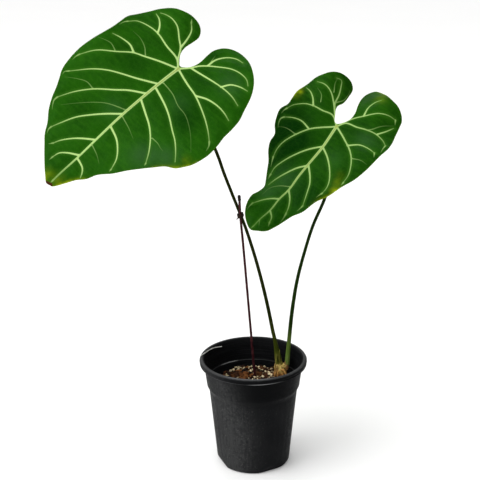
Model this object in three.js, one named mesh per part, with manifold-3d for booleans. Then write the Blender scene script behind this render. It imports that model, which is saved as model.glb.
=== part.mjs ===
// A potted anthurium regale: a nursery pot with its growing mix, a crown, two petioles with their
// heart-shaped blades, and a tied stake. Lengths are in millimetres and +Z is up. The origin is the
// centre of the pot's flat foot. The blades' upper faces look towards -Y, and +X is to their right.
import * as THREE from "three";
import { mergeVertices } from "three/addons/utils/BufferGeometryUtils.js";
import Module from "manifold-3d";

const wasm = await Module();
wasm.setup();

// Driving dimensions
const POT_HEIGHT = 135;
const RIM_RADIUS = 65;
const BEAD_RADIUS = 2.9;
const BEAD_RISE = 3.2;
const COLLAR_RADIUS = 56.2;
const COLLAR_FLARE = 3.6;
const SHOULDER_TOP = POT_HEIGHT - 33.5;
const SHOULDER_HEIGHT = 8;
const SHOULDER_FOOT = SHOULDER_TOP - SHOULDER_HEIGHT;
const WALL_TOP_RADIUS = 53.3;
const FOOT_RADIUS = 44.4;
const FOOT_CORNER = 3.2;
const INNER_FOOT_RADIUS = 40.2;
const INNER_CORNER = 10.5;
const FLOOR = 2.2;
const WALL = 1.5;
const LEDGE_LEVEL = POT_HEIGHT - 27.5;
const LEDGE_WIDTH = 0.9;
const SOIL_LEVEL = POT_HEIGHT - 34.5;
const STAKE_RADIUS = 1.4;
const BLADE_THICKNESS = 0.8;
const GAP = 0.3;
const ROUND_SIDES = 64;

// Seeded random numbers from 0 to 1
function randomFrom(seed) {
  let state = seed;
  return () => {
    state = (state * 1664525 + 1013904223) % 4294967296;
    return state / 4294967296;
  };
}

// A closed geometry as a solid, and a solid as a geometry
function solidOf(geometry, matrix) {
  const bare = new THREE.BufferGeometry();
  const whole = geometry.index ? geometry.toNonIndexed() : geometry;
  bare.setAttribute("position", whole.getAttribute("position").clone());
  if (matrix) bare.applyMatrix4(matrix);
  const merged = mergeVertices(bare, 1e-3);
  const mesh = new wasm.Mesh({
    numProp: 3,
    vertProperties: merged.attributes.position.array,
    triVerts: new Uint32Array(merged.index.array),
  });
  return new wasm.Manifold(mesh);
}

function geometryOf(solid) {
  const mesh = solid.getMesh();
  const geometry = new THREE.BufferGeometry();
  geometry.setAttribute("position", new THREE.BufferAttribute(mesh.vertProperties, mesh.numProp));
  geometry.setIndex(new THREE.BufferAttribute(mesh.triVerts, 1));
  geometry.computeVertexNormals();
  return geometry;
}

function joined(solids) {
  return solids.reduce((whole, piece) => whole.add(piece));
}

function largestBody(solid) {
  return solid.decompose().sort((a, b) => b.volume() - a.volume())[0];
}

function placed(position, rotation = [0, 0, 0], scale = [1, 1, 1]) {
  const turn = new THREE.Quaternion().setFromEuler(new THREE.Euler(...rotation));
  return new THREE.Matrix4().compose(new THREE.Vector3(...position), turn, new THREE.Vector3(...scale));
}

function lathe(profile, sides = ROUND_SIDES) {
  const points = profile.map(([r, z]) => new THREE.Vector2(r, z));
  return new THREE.LatheGeometry(points, sides).rotateX(Math.PI / 2);
}

// A standing round plug, wider at its top than at its foot
function plug(x, y, topRadius, footRadius, topZ, footZ, sides) {
  const geometry = new THREE.CylinderGeometry(topRadius, footRadius, topZ - footZ, sides);
  return solidOf(geometry.rotateX(Math.PI / 2).translate(x, y, (topZ + footZ) / 2));
}

// A round stalk along a curve through the points. widthAt gives its two half-widths, across X and
// across the other directions, at a share t of its length.
function stalk(points, sides, steps, widthAt) {
  const path = new THREE.CatmullRomCurve3(points.map((p) => new THREE.Vector3(...p)));
  const rim = [];
  for (let i = 0; i < sides; i++) {
    const angle = (2 * Math.PI * i) / sides;
    rim.push(new THREE.Vector2(Math.cos(angle), Math.sin(angle)));
  }
  const geometry = new THREE.ExtrudeGeometry(new THREE.Shape(rim), {
    steps,
    extrudePath: path,
    bevelEnabled: false,
  });
  const centres = path.getSpacedPoints(steps);
  const position = geometry.getAttribute("position");
  const corner = new THREE.Vector3();
  for (let i = 0; i < position.count; i++) {
    corner.fromBufferAttribute(position, i);
    const distances = centres.map((c) => c.distanceToSquared(corner));
    const step = distances.indexOf(Math.min(...distances));
    const [across, deep] = widthAt(step / steps);
    const centre = centres[step];
    corner.sub(centre).multiply(new THREE.Vector3(across, deep, deep)).add(centre);
    position.setXYZ(i, corner.x, corner.y, corner.z);
  }
  return geometry;
}

// Pot

function potOutside() {
  const profile = [
    [0, 0],
    [FOOT_RADIUS - FOOT_CORNER, 0],
    [FOOT_RADIUS - 0.9, 1],
    [FOOT_RADIUS, FOOT_CORNER],
    [WALL_TOP_RADIUS, SHOULDER_FOOT],
  ];
  // The shoulder curves out to the collar.
  for (const share of [0.35, 0.65, 0.88, 1]) {
    const swell = 1 - Math.cos((share * Math.PI) / 2);
    profile.push([
      WALL_TOP_RADIUS + (COLLAR_RADIUS - WALL_TOP_RADIUS) * swell ** 0.8,
      SHOULDER_FOOT + SHOULDER_HEIGHT * share,
    ]);
  }
  profile.push([COLLAR_RADIUS + COLLAR_FLARE, POT_HEIGHT - 2 * BEAD_RISE - 0.3]);
  return profile;
}

function rimBead() {
  const bead = [];
  for (const degrees of [-112, -80, -45, -10, 25, 60, 95, 130, 165]) {
    const angle = THREE.MathUtils.degToRad(degrees);
    bead.push([
      RIM_RADIUS - BEAD_RADIUS + BEAD_RADIUS * Math.cos(angle),
      POT_HEIGHT - BEAD_RISE + BEAD_RISE * Math.sin(angle),
    ]);
  }
  return bead;
}

function innerWall(z) {
  const outside = potOutside();
  for (let i = 1; i < outside.length; i++) {
    const [r0, z0] = outside[i - 1];
    const [r1, z1] = outside[i];
    if (z <= z1) return r0 + ((r1 - r0) * (z - z0)) / (z1 - z0) - WALL;
  }
  return outside.at(-1)[0] - WALL;
}

function potInside() {
  return [
    [innerWall(POT_HEIGHT - 9), POT_HEIGHT - 9],
    [innerWall(LEDGE_LEVEL), LEDGE_LEVEL],
    [innerWall(LEDGE_LEVEL) - LEDGE_WIDTH, LEDGE_LEVEL - 0.8],
    [innerWall(SHOULDER_TOP) - LEDGE_WIDTH, SHOULDER_TOP],
    [WALL_TOP_RADIUS - WALL, SHOULDER_FOOT],
    [innerWall(INNER_CORNER), INNER_CORNER],
    [INNER_FOOT_RADIUS, FLOOR],
    [0, FLOOR],
  ];
}

function pot() {
  let body = solidOf(lathe([...potOutside(), ...rimBead(), ...potInside()]));
  const drain = { count: 6, radius: 3.6, ring: 30 };
  for (let i = 0; i < drain.count; i++) {
    const angle = ((i + 0.5) * 2 * Math.PI) / drain.count;
    const x = drain.ring * Math.cos(angle);
    const y = drain.ring * Math.sin(angle);
    body = body.subtract(plug(x, y, drain.radius, drain.radius, FLOOR + 2, -2, 14));
  }
  // Shallow notches flatten the foot's edge in two opposite pairs. A bearing is measured from -Y.
  const notch = { width: 36, height: 24, depth: 4.2, lean: 0.5, bearings: [-68, 30, 112, 210] };
  for (const bearing of notch.bearings) {
    const block = new THREE.BoxGeometry(10, notch.width, notch.height);
    block.translate(5, 0, 0).rotateY(notch.lean);
    block.translate(FOOT_RADIUS - notch.depth, 0, 0);
    block.rotateZ(THREE.MathUtils.degToRad(bearing - 90));
    body = body.subtract(solidOf(block));
  }
  return body;
}

// Growing mix

const CROWN = { x: 34.5, y: 24, holeRadius: 10, holeFoot: 6.5, depth: 26 };
const STAKE_ROUTE = [
  [5.9, 19, 47],
  [1.6, 20, 101.9],
  [-7.5, 22, 216.3],
  [-12.4, 23, 277],
  [-15, 23.6, 306],
  [-15.9, 24, 325],
];

// grow makes the rod wider all round and longer at its foot, to cut the hole that it stands in.
function stake(grow = 0) {
  const [[x, y, z], ...rest] = STAKE_ROUTE;
  const radius = STAKE_RADIUS + grow;
  return solidOf(stalk([[x, y, z - 3 * grow], ...rest], 12, 14, () => [radius, radius]));
}

function grain(random, x, y) {
  const spin = [random() * 6, random() * 6, random() * 6];
  if (random() < 0.45) {
    const radius = 2 + random() * 1.1;
    const squash = [1, 0.75 + random() * 0.3, 0.7 + random() * 0.3];
    const perlite = new THREE.IcosahedronGeometry(radius, 0);
    return solidOf(perlite, placed([x, y, SOIL_LEVEL + 0.5], spin, squash));
  }
  const chip = new THREE.BoxGeometry(4 + random() * 5, 3 + random() * 3, 2 + random() * 1.6);
  return solidOf(chip, placed([x, y, SOIL_LEVEL + 0.2], [spin[0] * 0.12, spin[1] * 0.12, spin[2]]));
}

function growingMix() {
  const top = innerWall(SOIL_LEVEL) - LEDGE_WIDTH - GAP;
  let body = solidOf(
    lathe([
      [0, FLOOR + GAP],
      [INNER_FOOT_RADIUS - GAP, FLOOR + GAP],
      [innerWall(INNER_CORNER) - GAP, INNER_CORNER],
      [WALL_TOP_RADIUS - WALL - GAP, SHOULDER_FOOT - 0.4],
      [top, SOIL_LEVEL],
      [0, SOIL_LEVEL],
    ]),
  );
  // Chips and grains lie in a spiral of even spacing, each moved a little.
  const random = randomFrom(7);
  const grains = 96;
  const reach = top - 5;
  const goldenAngle = Math.PI * (3 - Math.sqrt(5));
  const pieces = [];
  for (let i = 0; i < grains; i++) {
    const radius = reach * Math.sqrt((i + 0.5) / grains);
    const x = radius * Math.cos(i * goldenAngle) + (random() - 0.5) * 3;
    const y = radius * Math.sin(i * goldenAngle) + (random() - 0.5) * 3;
    const piece = grain(random, x, y);
    if (Math.hypot(x - CROWN.x, y - CROWN.y) > CROWN.holeRadius + 3.4) pieces.push(piece);
  }
  body = joined([body, ...pieces]);
  body = body.subtract(crownPlug(GAP));
  return body.subtract(stake(GAP));
}

function crownPlug(grow) {
  const { x, y, holeRadius, holeFoot, depth } = CROWN;
  const top = SOIL_LEVEL + (grow ? 8 : -0.5);
  const topRadius = holeRadius + (grow ? 1.1 : 0);
  return plug(x, y, topRadius + grow, holeFoot + grow, top, SOIL_LEVEL - depth - grow, 20);
}

// Petioles

const LEFT_ROUTE = [
  [31.9, 24.6, 113],
  [30, 25, 125.3],
  [26.4, 25.4, 146.6],
  [23.7, 25.7, 158.9],
  [18.7, 26.1, 185.1],
  [11.6, 26.5, 217.5],
  [2.8, 26.9, 252.1],
  [-9.5, 27.2, 292.4],
  [-25.3, 28.3, 334.2],
  [-34.3, 29.4, 358.3],
  [-40.7, 30.7, 377.4],
  [-55.2, 33, 413.5],
  [-69, 38, 445.4],
  [-79.8, 43, 468],
  [-84, 42, 476],
  [-85.3, 35.6, 480],
];
const RIGHT_ROUTE = [
  [41.2, 24.2, 113],
  [41.9, 24.3, 121],
  [44.6, 25, 156.5],
  [47.3, 25.7, 185.3],
  [52.9, 26.7, 223.9],
  [62, 27.9, 261.9],
  [71.2, 28.8, 293.1],
  [84.2, 30.4, 324.9],
  [93.2, 33, 354.5],
  [97.2, 37, 381.3],
  [98.4, 39, 401.2],
  [97.9, 37, 409.3],
  [97.1, 31.6, 413.3],
];

// Thick at the foot, thin at mid-height, and thick again at the joint below the blade
function petioleWidth(foot, middle, joint, sheath) {
  return (t) => {
    const thinning = foot + (middle - foot) * Math.min(1, t / 0.5);
    const swelling = (joint - middle) * THREE.MathUtils.smoothstep(t, 0.93, 0.98);
    const flare = sheath * (1 - THREE.MathUtils.smoothstep(t, 0.015, 0.09));
    return [thinning + swelling + flare, thinning + swelling + flare * 0.4];
  };
}

const LEFT_WIDTH = petioleWidth(2.4, 1.8, 2.3, 1.9);
const RIGHT_WIDTH = petioleWidth(2.7, 1.85, 2.1, 0.3);

// grow makes it wider all round and longer at its foot, to cut the socket that it stands in.
function petiole(route, width, grow = 0) {
  const [[x, y, z], ...rest] = route;
  const grown = (t) => width(t).map((half) => half + grow);
  return solidOf(stalk([[x, y, z - 2 * grow], ...rest], 8, 30, grown));
}

// Crown

function crown() {
  const { x, y } = CROWN;
  const ball = new THREE.SphereGeometry(1, 12, 8);
  const lump = (east, north, rise, lean, size) =>
    solidOf(ball, placed([x + east, y + north, SOIL_LEVEL + rise], [0, lean, 0], size));
  const pieces = [
    crownPlug(0),
    lump(-0.8, 0, 4, 0, [7.4, 6.6, 12.5]),
    lump(-3.6, 0.6, 9.8, -0.15, [5.6, 5, 8.8]),
    lump(5.2, 0.2, 11.5, 0.2, [3.9, 3.9, 5.8]),
  ];
  // Dry sheath scales stand round the petioles' feet.
  const scales = [
    { at: [-6.6, -2.8, 12.5], bearing: 215, height: 15 },
    { at: [-1.6, -3.6, 11.5], bearing: 285, height: 13 },
    { at: [2.6, -2.8, 8.5], bearing: 265, height: 11 },
    { at: [7.4, -2.6, 9.5], bearing: 320, height: 9 },
    { at: [7, 3.2, 9], bearing: 40, height: 9 },
    { at: [-5, 4.2, 11.5], bearing: 130, height: 13 },
  ];
  for (const { at, bearing, height } of scales) {
    const cone = new THREE.ConeGeometry(3.1, height, 5);
    cone.rotateX(Math.PI / 2).scale(0.32, 1, 1).rotateY(0.12);
    cone.rotateZ(THREE.MathUtils.degToRad(bearing));
    pieces.push(solidOf(cone.translate(x + at[0], y + at[1], SOIL_LEVEL + at[2])));
  }
  // Stubby roots curve down into the mix.
  const roots = 8;
  for (let i = 0; i < roots; i++) {
    const angle = (i / roots) * 2 * Math.PI + 0.5;
    const east = x + 0.5;
    const out = (radius, rise) => [
      east + radius * Math.cos(angle),
      y + radius * 0.95 * Math.sin(angle),
      SOIL_LEVEL + rise,
    ];
    const lift = 2 * Math.sin(i * 2.4);
    const reach = 8.7 - 1.9 * Math.max(0, Math.cos(angle));
    const route = [
      out(3.5, 6.5 + lift),
      out(reach * 0.8, 5.9 + lift),
      out(reach, 2.1),
      out(reach * 0.8, -4.5),
    ];
    pieces.push(solidOf(stalk(route, 5, 5, (t) => [1.35 - 0.35 * t, 1.35 - 0.35 * t])));
  }
  let body = joined(pieces);
  body = body.subtract(petiole(LEFT_ROUTE, LEFT_WIDTH, GAP));
  body = body.subtract(petiole(RIGHT_ROUTE, RIGHT_WIDTH, GAP));
  return largestBody(body);
}

// Leaf blades. Each is drawn on its own plane, in millimetres from the joint: u runs along the
// midrib to the tip and v to the right of it, as seen from the tip.

const LEFT_LEAF = {
  joint: [-85.3, 36, 479.6],
  tip: [-221.7, -59, 370.7],
  facing: [-0.006, -0.75, 0.661],
  arch: 0.00055,
  fold: 0.1,
  droop: 0.0013,
  wave: { height: 2.5, count: 7, phase: 0.6, centre: 70, radius: 105 },
  outline: [
    [-4, -1], [-7, 4], [-14, 9], [-24, 11], [-37, 10], [-47, 10], [-58, 15], [-64, 23], [-66, 35],
    [-62, 52], [-54, 66], [-44, 78], [-33, 86], [-24, 90], [-11, 94], [1, 98], [16, 100], [29, 101],
    [43, 104], [59, 105], [77, 100], [86, 94], [93, 88], [99, 78], [109, 69], [122, 58], [130, 51],
    [143, 40], [155, 27], [166, 21], [175, 13], [187, 6], [198, -1], [199, -4], [200, -8],
    [195, -15], [183, -29], [170, -43], [160, -53], [149, -60], [138, -69], [126, -76], [113, -82],
    [103, -88], [92, -95], [78, -99], [61, -100], [43, -97], [29, -94], [15, -92], [3, -92],
    [-9, -92], [-19, -87], [-32, -79], [-42, -72], [-53, -59], [-57, -49], [-60, -37], [-59, -25],
    [-55, -18], [-47, -13], [-37, -13], [-25, -14], [-16, -12], [-8, -6],
  ],
  midrib: [[0, 0], [36, -2], [59, -3], [89, -4], [132, -4], [156, -4], [181, -5], [193, -5]],
  veins: [
    [[0, 0], [-8, -8], [-21, -17], [-28, -26], [-38, -39], [-41, -51], [-40, -61], [-38, -67]],
    [[-21, -17], [-36, -20], [-46, -24], [-53, -31]],
    [[0, 0], [-8, -10], [-11, -29], [-16, -49], [-16, -64], [-12, -79], [-4, -86]],
    [[-16, -49], [-24, -54], [-31, -62], [-34, -70]],
    [[0, 0], [8, -20], [16, -38], [22, -51], [35, -65], [50, -83], [66, -94]],
    [[21, -51], [17, -61], [18, -74], [21, -85]],
    [[30, -2], [42, -24], [50, -40], [59, -56], [70, -70], [89, -87]],
    [[48, -3], [59, -20], [69, -31], [85, -49], [102, -62], [121, -72]],
    [[84, -4], [97, -18], [109, -29], [123, -40], [139, -48], [150, -53]],
    [[127, -4], [135, -15], [143, -24], [154, -33], [162, -37]],
    [[152, -4], [160, -17], [166, -23], [174, -25]],
    [[0, 0], [-11, 9], [-19, 14], [-26, 21], [-33, 31], [-40, 44], [-42, 57], [-40, 70], [-35, 77]],
    [[-26, 21], [-40, 22], [-51, 29], [-56, 38], [-56, 49]],
    [[-11, 9], [-13, 32], [-14, 52], [-14, 64], [-13, 74], [-10, 85]],
    [[-14, 55], [-23, 61], [-28, 71], [-30, 81]],
    [[0, 0], [8, 23], [13, 40], [20, 56], [28, 71], [36, 83], [45, 94]],
    [[13, 42], [8, 54], [6, 68], [7, 80], [10, 90]],
    [[35, -2], [44, 22], [51, 36], [63, 54], [70, 65], [80, 76], [88, 83]],
    [[57, -3], [67, 15], [75, 29], [85, 41], [98, 52], [111, 60]],
    [[104, -4], [111, 13], [120, 24], [129, 31], [141, 35]],
    [[156, -4], [160, 8], [164, 12], [170, 15]],
  ],
};

const RIGHT_LEAF = {
  joint: [97.1, 32, 413],
  tip: [-1.9, -40, 312],
  facing: [-0.16, -0.723, 0.672],
  arch: 0.0008,
  fold: 0.14,
  droop: 0.0016,
  wave: { height: 3.5, count: 9, phase: 2.2, centre: 50, radius: 80 },
  outline: [
    [-3, -3], [-7, 2], [-16, 7], [-27, 6], [-38, 1], [-51, -3], [-62, -2], [-68, 4], [-65, 20],
    [-61, 35], [-59, 45], [-55, 52], [-49, 57], [-42, 59], [-29, 63], [-15, 69], [-5, 71], [7, 69],
    [18, 67], [34, 64], [50, 61], [65, 54], [80, 48], [92, 42], [108, 36], [118, 28], [128, 24],
    [140, 20], [151, 15], [156, 8], [159, -1], [149, -19], [142, -25], [134, -28], [124, -28],
    [116, -24], [108, -22], [101, -25], [92, -30], [82, -36], [72, -44], [62, -49], [51, -51],
    [41, -59], [32, -63], [23, -65], [12, -62], [2, -64], [-12, -67], [-26, -64], [-37, -60],
    [-44, -53], [-52, -45], [-58, -37], [-60, -30], [-59, -24], [-53, -18], [-41, -15], [-30, -14],
    [-23, -16], [-18, -15], [-11, -11], [-5, -7],
  ],
  midrib: [[0, 0], [31, 4], [58, 4], [76, 4], [96, 5], [111, 3], [128, 3], [143, 0], [154, -1]],
  veins: [
    [[0, 0], [-10, -10], [-16, -15], [-23, -20], [-34, -23], [-45, -28], [-51, -32], [-49, -37]],
    [[-10, -10], [-22, -21], [-31, -32], [-34, -42], [-33, -54]],
    [[0, 0], [-9, -13], [-6, -25], [-5, -38], [-2, -48], [7, -56], [17, -59]],
    [[-5, -38], [-13, -45], [-19, -54], [-21, -62]],
    [[0, 0], [12, -13], [22, -23], [35, -30], [50, -36], [64, -37], [74, -35]],
    [[22, -23], [19, -36], [21, -44], [28, -55]],
    [[30, 4], [42, -7], [55, -15], [71, -22], [84, -25], [93, -24]],
    [[60, 4], [69, -4], [82, -11], [94, -16], [104, -19]],
    [[111, 3], [115, -5], [121, -13], [131, -22]],
    [[0, 0], [-12, 5], [-21, 12], [-27, 19], [-33, 25], [-39, 32], [-44, 43], [-45, 51]],
    [[-27, 19], [-41, 16], [-50, 19], [-55, 24]],
    [[0, 0], [-9, 6], [-11, 21], [-15, 33], [-17, 44], [-14, 56], [-8, 65]],
    [[-17, 45], [-27, 51], [-36, 55]],
    [[0, 0], [10, 20], [17, 32], [26, 42], [37, 49], [47, 53], [56, 54]],
    [[14, 27], [6, 38], [5, 48], [7, 61]],
    [[31, 4], [39, 17], [50, 29], [62, 38], [71, 41], [79, 41]],
    [[58, 4], [69, 15], [77, 21], [89, 26], [103, 31]],
    [[96, 5], [103, 12], [111, 17], [120, 20]],
    [[128, 3], [134, 10], [140, 12]],
  ],
};

const RIB = { midrib: 2.4, vein: 1.5, frontLift: 0.55, backDrop: 1.3, step: 9.5 };
const QUILT = { height: 1.3, reach: 11 };

// The blade's height over its plane: an arch along the midrib, a shallow fold across it that droops
// at the edges, and waves that grow towards the margin.
function bladeHeight(leaf, u, v) {
  const { height, count, phase, centre, radius } = leaf.wave;
  const arch = -leaf.arch * (u - 40) ** 2;
  const fold = leaf.fold * (Math.sqrt(v * v + 144) - 12);
  const droop = -leaf.droop * Math.max(0, Math.abs(v) - 45) ** 2;
  const outward = Math.min(Math.hypot(u - centre, v) / radius, 1.4);
  const wave = height * outward ** 3 * Math.sin(phase - count * Math.atan2(v, u - centre));
  return arch + fold + droop + wave;
}

function curvePoints(points, spacing, closed = false) {
  const corners = points.map(([u, v]) => new THREE.Vector3(u, v, 0));
  const curve = new THREE.CatmullRomCurve3(corners, closed, "centripetal");
  const count = Math.max(2, Math.round(curve.getLength() / spacing));
  const spaced = curve.getSpacedPoints(count).map((p) => [p.x, p.y]);
  return closed ? spaced.slice(0, -1) : spaced;
}

function distance([u0, v0], [u1, v1]) {
  return Math.hypot(u1 - u0, v1 - v0);
}

function distanceToLine(point, line) {
  let nearest = Infinity;
  for (let i = 1; i < line.length; i++) {
    const [a, b] = [line[i - 1], line[i]];
    const along = [b[0] - a[0], b[1] - a[1]];
    const reached = (point[0] - a[0]) * along[0] + (point[1] - a[1]) * along[1];
    const share = reached / (along[0] ** 2 + along[1] ** 2);
    const t = THREE.MathUtils.clamp(share, 0, 1);
    nearest = Math.min(nearest, distance(point, [a[0] + t * along[0], a[1] + t * along[1]]));
  }
  return nearest;
}

function isInside([u, v], outline) {
  let inside = false;
  outline.forEach(([u0, v0], i) => {
    const [u1, v1] = outline[(i + 1) % outline.length];
    if (v0 > v !== v1 > v && u < u0 + ((v - v0) / (v1 - v0)) * (u1 - u0)) inside = !inside;
  });
  return inside;
}

// Delaunay triangles of the points, found by adding them one at a time
function triangulate(points) {
  const far = 5000;
  const all = [...points, [-far, -far], [far, -far], [0, far]];
  const triangle = (a, b, c) => {
    const [[ax, ay], [bx, by], [cx, cy]] = [all[a], all[b], all[c]];
    const turn = 2 * ((bx - ax) * (cy - ay) - (by - ay) * (cx - ax));
    const ab = (bx - ax) ** 2 + (by - ay) ** 2;
    const ac = (cx - ax) ** 2 + (cy - ay) ** 2;
    const x = ax + ((cy - ay) * ab - (by - ay) * ac) / turn;
    const y = ay + ((bx - ax) * ac - (cx - ax) * ab) / turn;
    return { corners: [a, b, c], x, y, reach: (x - ax) ** 2 + (y - ay) ** 2 };
  };
  const n = points.length;
  let found = [triangle(n, n + 1, n + 2)];
  points.forEach(([u, v], i) => {
    const rim = new Map();
    found = found.filter((t) => {
      if ((u - t.x) ** 2 + (v - t.y) ** 2 >= t.reach) return true;
      t.corners.forEach((a, k) => {
        const b = t.corners[(k + 1) % 3];
        if (!rim.delete(b + " " + a)) rim.set(a + " " + b, [a, b]);
      });
      return false;
    });
    for (const [a, b] of rim.values()) found.push(triangle(a, b, i));
  });
  return found.map((t) => t.corners).filter((corners) => corners.every((i) => i < n));
}

// The points of a blade with the lift of its ribs: its edge, the ribs' crests and feet, and a spread
// of points between them
function bladePoints(leaf) {
  const random = randomFrom(3);
  const edge = curvePoints(leaf.outline, 7, true);
  const kept = edge.map((at) => ({ at, lift: 0 }));
  const add = (at, lift, clear) => {
    const free = kept.every((other) => distance(other.at, at) > clear);
    if (!free || !isInside(at, edge)) return;
    kept.push({ at: at.map((value) => value + (random() - 0.5) * 0.04), lift });
  };
  const ribs = [leaf.midrib, ...leaf.veins].map((route, i) => {
    const line = curvePoints(route, RIB.step);
    const foot = i === 0 ? RIB.midrib : RIB.vein;
    const strength = i === 0 ? 1.3 : 0.85;
    return { line, foot, strength };
  });
  for (const { line, foot, strength } of ribs) {
    line.forEach((at, i) => {
      const [before, after] = [line[Math.max(0, i - 1)], line[Math.min(line.length - 1, i + 1)]];
      const length = distance(before, after);
      const side = [-(after[1] - before[1]) / length, (after[0] - before[0]) / length];
      const taper = 1 - 0.55 * (i / (line.length - 1));
      add(at, strength * taper, 1.6);
      for (const turn of [-1, 1]) {
        add([at[0] + side[0] * foot * taper * turn, at[1] + side[1] * foot * taper * turn], 0, 0.85);
      }
    });
  }
  const spread = 12;
  for (let row = -8; row * spread * 0.87 < 210; row++) {
    for (let column = -10; column < 10; column++) {
      const at = [row * spread * 0.87, (column + (row % 2) / 2) * spread];
      if (ribs.every(({ line }) => distanceToLine(at, line) > 4.2)) add(at, 0, 5);
    }
  }
  return { edge, kept, ribs };
}

function bladeGeometry(leaf, grow = 0) {
  const { edge, kept, ribs } = bladePoints(leaf);
  const middle = bladeHeight(leaf, 0, 0);
  const flatLines = [[...edge, edge[0]], ...ribs.map(({ line }) => line)];
  const front = [];
  const back = [];
  for (const { at, lift } of kept) {
    const away = Math.min(...flatLines.map((line) => distanceToLine(at, line)));
    const quilt = QUILT.height * THREE.MathUtils.smoothstep(away, 0, QUILT.reach);
    const height = bladeHeight(leaf, at[0], at[1]) - middle + quilt;
    front.push(at[0], at[1], height + lift * RIB.frontLift + grow);
    back.push(at[0], at[1], height - BLADE_THICKNESS - lift * RIB.backDrop - grow);
  }
  const count = kept.length;
  const index = [];
  const open = new Map();
  for (const corners of triangulate(kept.map(({ at }) => at))) {
    const centre = [0, 1].map((axis) => corners.reduce((sum, i) => sum + kept[i].at[axis], 0) / 3);
    if (!isInside(centre, edge)) continue;
    const [a, b, c] = corners;
    index.push(a, b, c, a + count, c + count, b + count);
    corners.forEach((from, k) => {
      const to = corners[(k + 1) % 3];
      if (!open.delete(to + " " + from)) open.set(from + " " + to, [from, to]);
    });
  }
  for (const [a, b] of open.values()) index.push(b, a, a + count, b, a + count, b + count);
  const geometry = new THREE.BufferGeometry();
  geometry.setAttribute("position", new THREE.Float32BufferAttribute([...front, ...back], 3));
  geometry.setIndex(index);
  return geometry;
}

function bladePlacement(leaf) {
  const joint = new THREE.Vector3(...leaf.joint);
  const along = new THREE.Vector3(...leaf.tip).sub(joint).normalize();
  const facing = new THREE.Vector3(...leaf.facing);
  facing.addScaledVector(along, -facing.dot(along)).normalize();
  const across = new THREE.Vector3().crossVectors(facing, along);
  return new THREE.Matrix4().makeBasis(along, across, facing).setPosition(joint);
}

// The petiole ends against the back of its blade.
function fittedPetiole(route, width, leaf) {
  const clearance = solidOf(bladeGeometry(leaf, GAP), bladePlacement(leaf));
  return largestBody(petiole(route, width).subtract(clearance));
}

// The stake's cap and its tie

function stakeCap() {
  const cap = { radius: 1.95, height: 7 };
  const profile = [
    [0, 0],
    [cap.radius - 0.3, 0],
    [cap.radius, 0.6],
    [cap.radius, cap.height - 1.6],
    [cap.radius * 0.75, cap.height - 0.5],
    [0, cap.height],
  ];
  const [x, y, z] = STAKE_ROUTE.at(-1);
  return solidOf(lathe(profile, 12), placed([x, y, z + GAP + 0.15], [0, -0.08, 0]));
}

// Turns of cord lie aslant round the stake and the left petiole, and one end hangs free.
function stakeTie() {
  const tie = {
    centre: [-14.9, 25.6, 307],
    across: 3.35,
    deep: 5.4,
    tilt: -0.42,
    lean: 0.24,
    turns: 3,
    pitch: 1.45,
    cord: 0.9,
  };
  const [x, y, z] = tie.centre;
  const pieces = [];
  for (let turn = 0; turn < tie.turns; turn++) {
    const rise = (turn - (tie.turns - 1) / 2) * tie.pitch;
    const ring = new THREE.TorusGeometry(1, tie.cord / tie.across, 6, 16);
    const scale = [tie.across, tie.deep, tie.across];
    pieces.push(solidOf(ring, placed([x - tie.lean * rise, y, z + rise], [0, tie.tilt, 0], scale)));
  }
  const tail = [
    [x - 2.2, y - 2.9, z - 1.9],
    [x - 3.4, y - 3.2, z - 2.6],
    [x - 4.4, y - 3.3, z - 4],
  ];
  pieces.push(solidOf(stalk(tail, 6, 4, () => [0.8, 0.8])));
  return joined(pieces);
}

// A bare narrow strip lies over the rim and down the inner wall. Its route is given by the bearing,
// the distance from the pot's axis and the height over the rim's top.
function rimStrip() {
  const route = [
    [177, 63.7, 0.5],
    [172.5, 60.9, 0.7],
    [165, 59.5, -0.3],
    [158.5, 58.8, -0.7],
    [153, 58.3, -1.2],
    [146.5, 58, -2],
    [139.6, 57.4, -3.4],
    [133.6, 57.2, -4.5],
  ].map(([degrees, radius, rise]) => {
    const angle = THREE.MathUtils.degToRad(degrees);
    return [radius * Math.cos(angle), radius * Math.sin(angle), POT_HEIGHT + rise];
  });
  return solidOf(stalk(route, 6, 14, () => [0.6, 0.6]));
}

// The whole plant

const plant = new THREE.Group();

function addPiece(name, geometry, color, roughness, matrix) {
  const material = new THREE.MeshStandardMaterial({ color, roughness, metalness: 0 });
  const mesh = new THREE.Mesh(geometry, material);
  mesh.name = name;
  if (matrix) matrix.decompose(mesh.position, mesh.quaternion, mesh.scale);
  plant.add(mesh);
}

addPiece("pot", geometryOf(pot()), 0x1d1f21, 0.5);
addPiece("growing_mix", geometryOf(growingMix()), 0x5a3c22, 0.95);
addPiece("crown", geometryOf(crown()), 0xb59a58, 0.8);
addPiece("petiole_left", geometryOf(fittedPetiole(LEFT_ROUTE, LEFT_WIDTH, LEFT_LEAF)), 0x35511c, 0.55);
addPiece("petiole_right", geometryOf(fittedPetiole(RIGHT_ROUTE, RIGHT_WIDTH, RIGHT_LEAF)), 0x3f6a22, 0.55);
addPiece("leaf_blade_left", bladeGeometry(LEFT_LEAF), 0x1f5f14, 0.5, bladePlacement(LEFT_LEAF));
addPiece("leaf_blade_right", bladeGeometry(RIGHT_LEAF), 0x1f5f14, 0.5, bladePlacement(RIGHT_LEAF));
addPiece("stake", geometryOf(stake()), 0x4a1c22, 0.6);
addPiece("stake_cap", geometryOf(stakeCap()), 0x151212, 0.6);
addPiece("stake_tie", geometryOf(stakeTie()), 0x1c1310, 0.7);
addPiece("rim_strip", geometryOf(rimStrip()), 0xdadbd6, 0.6);

export default plant;
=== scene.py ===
import math
import random

import bmesh
import bpy
import numpy as np
from mathutils import Matrix, Vector, noise
from mathutils.geometry import delaunay_2d_cdt


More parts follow.
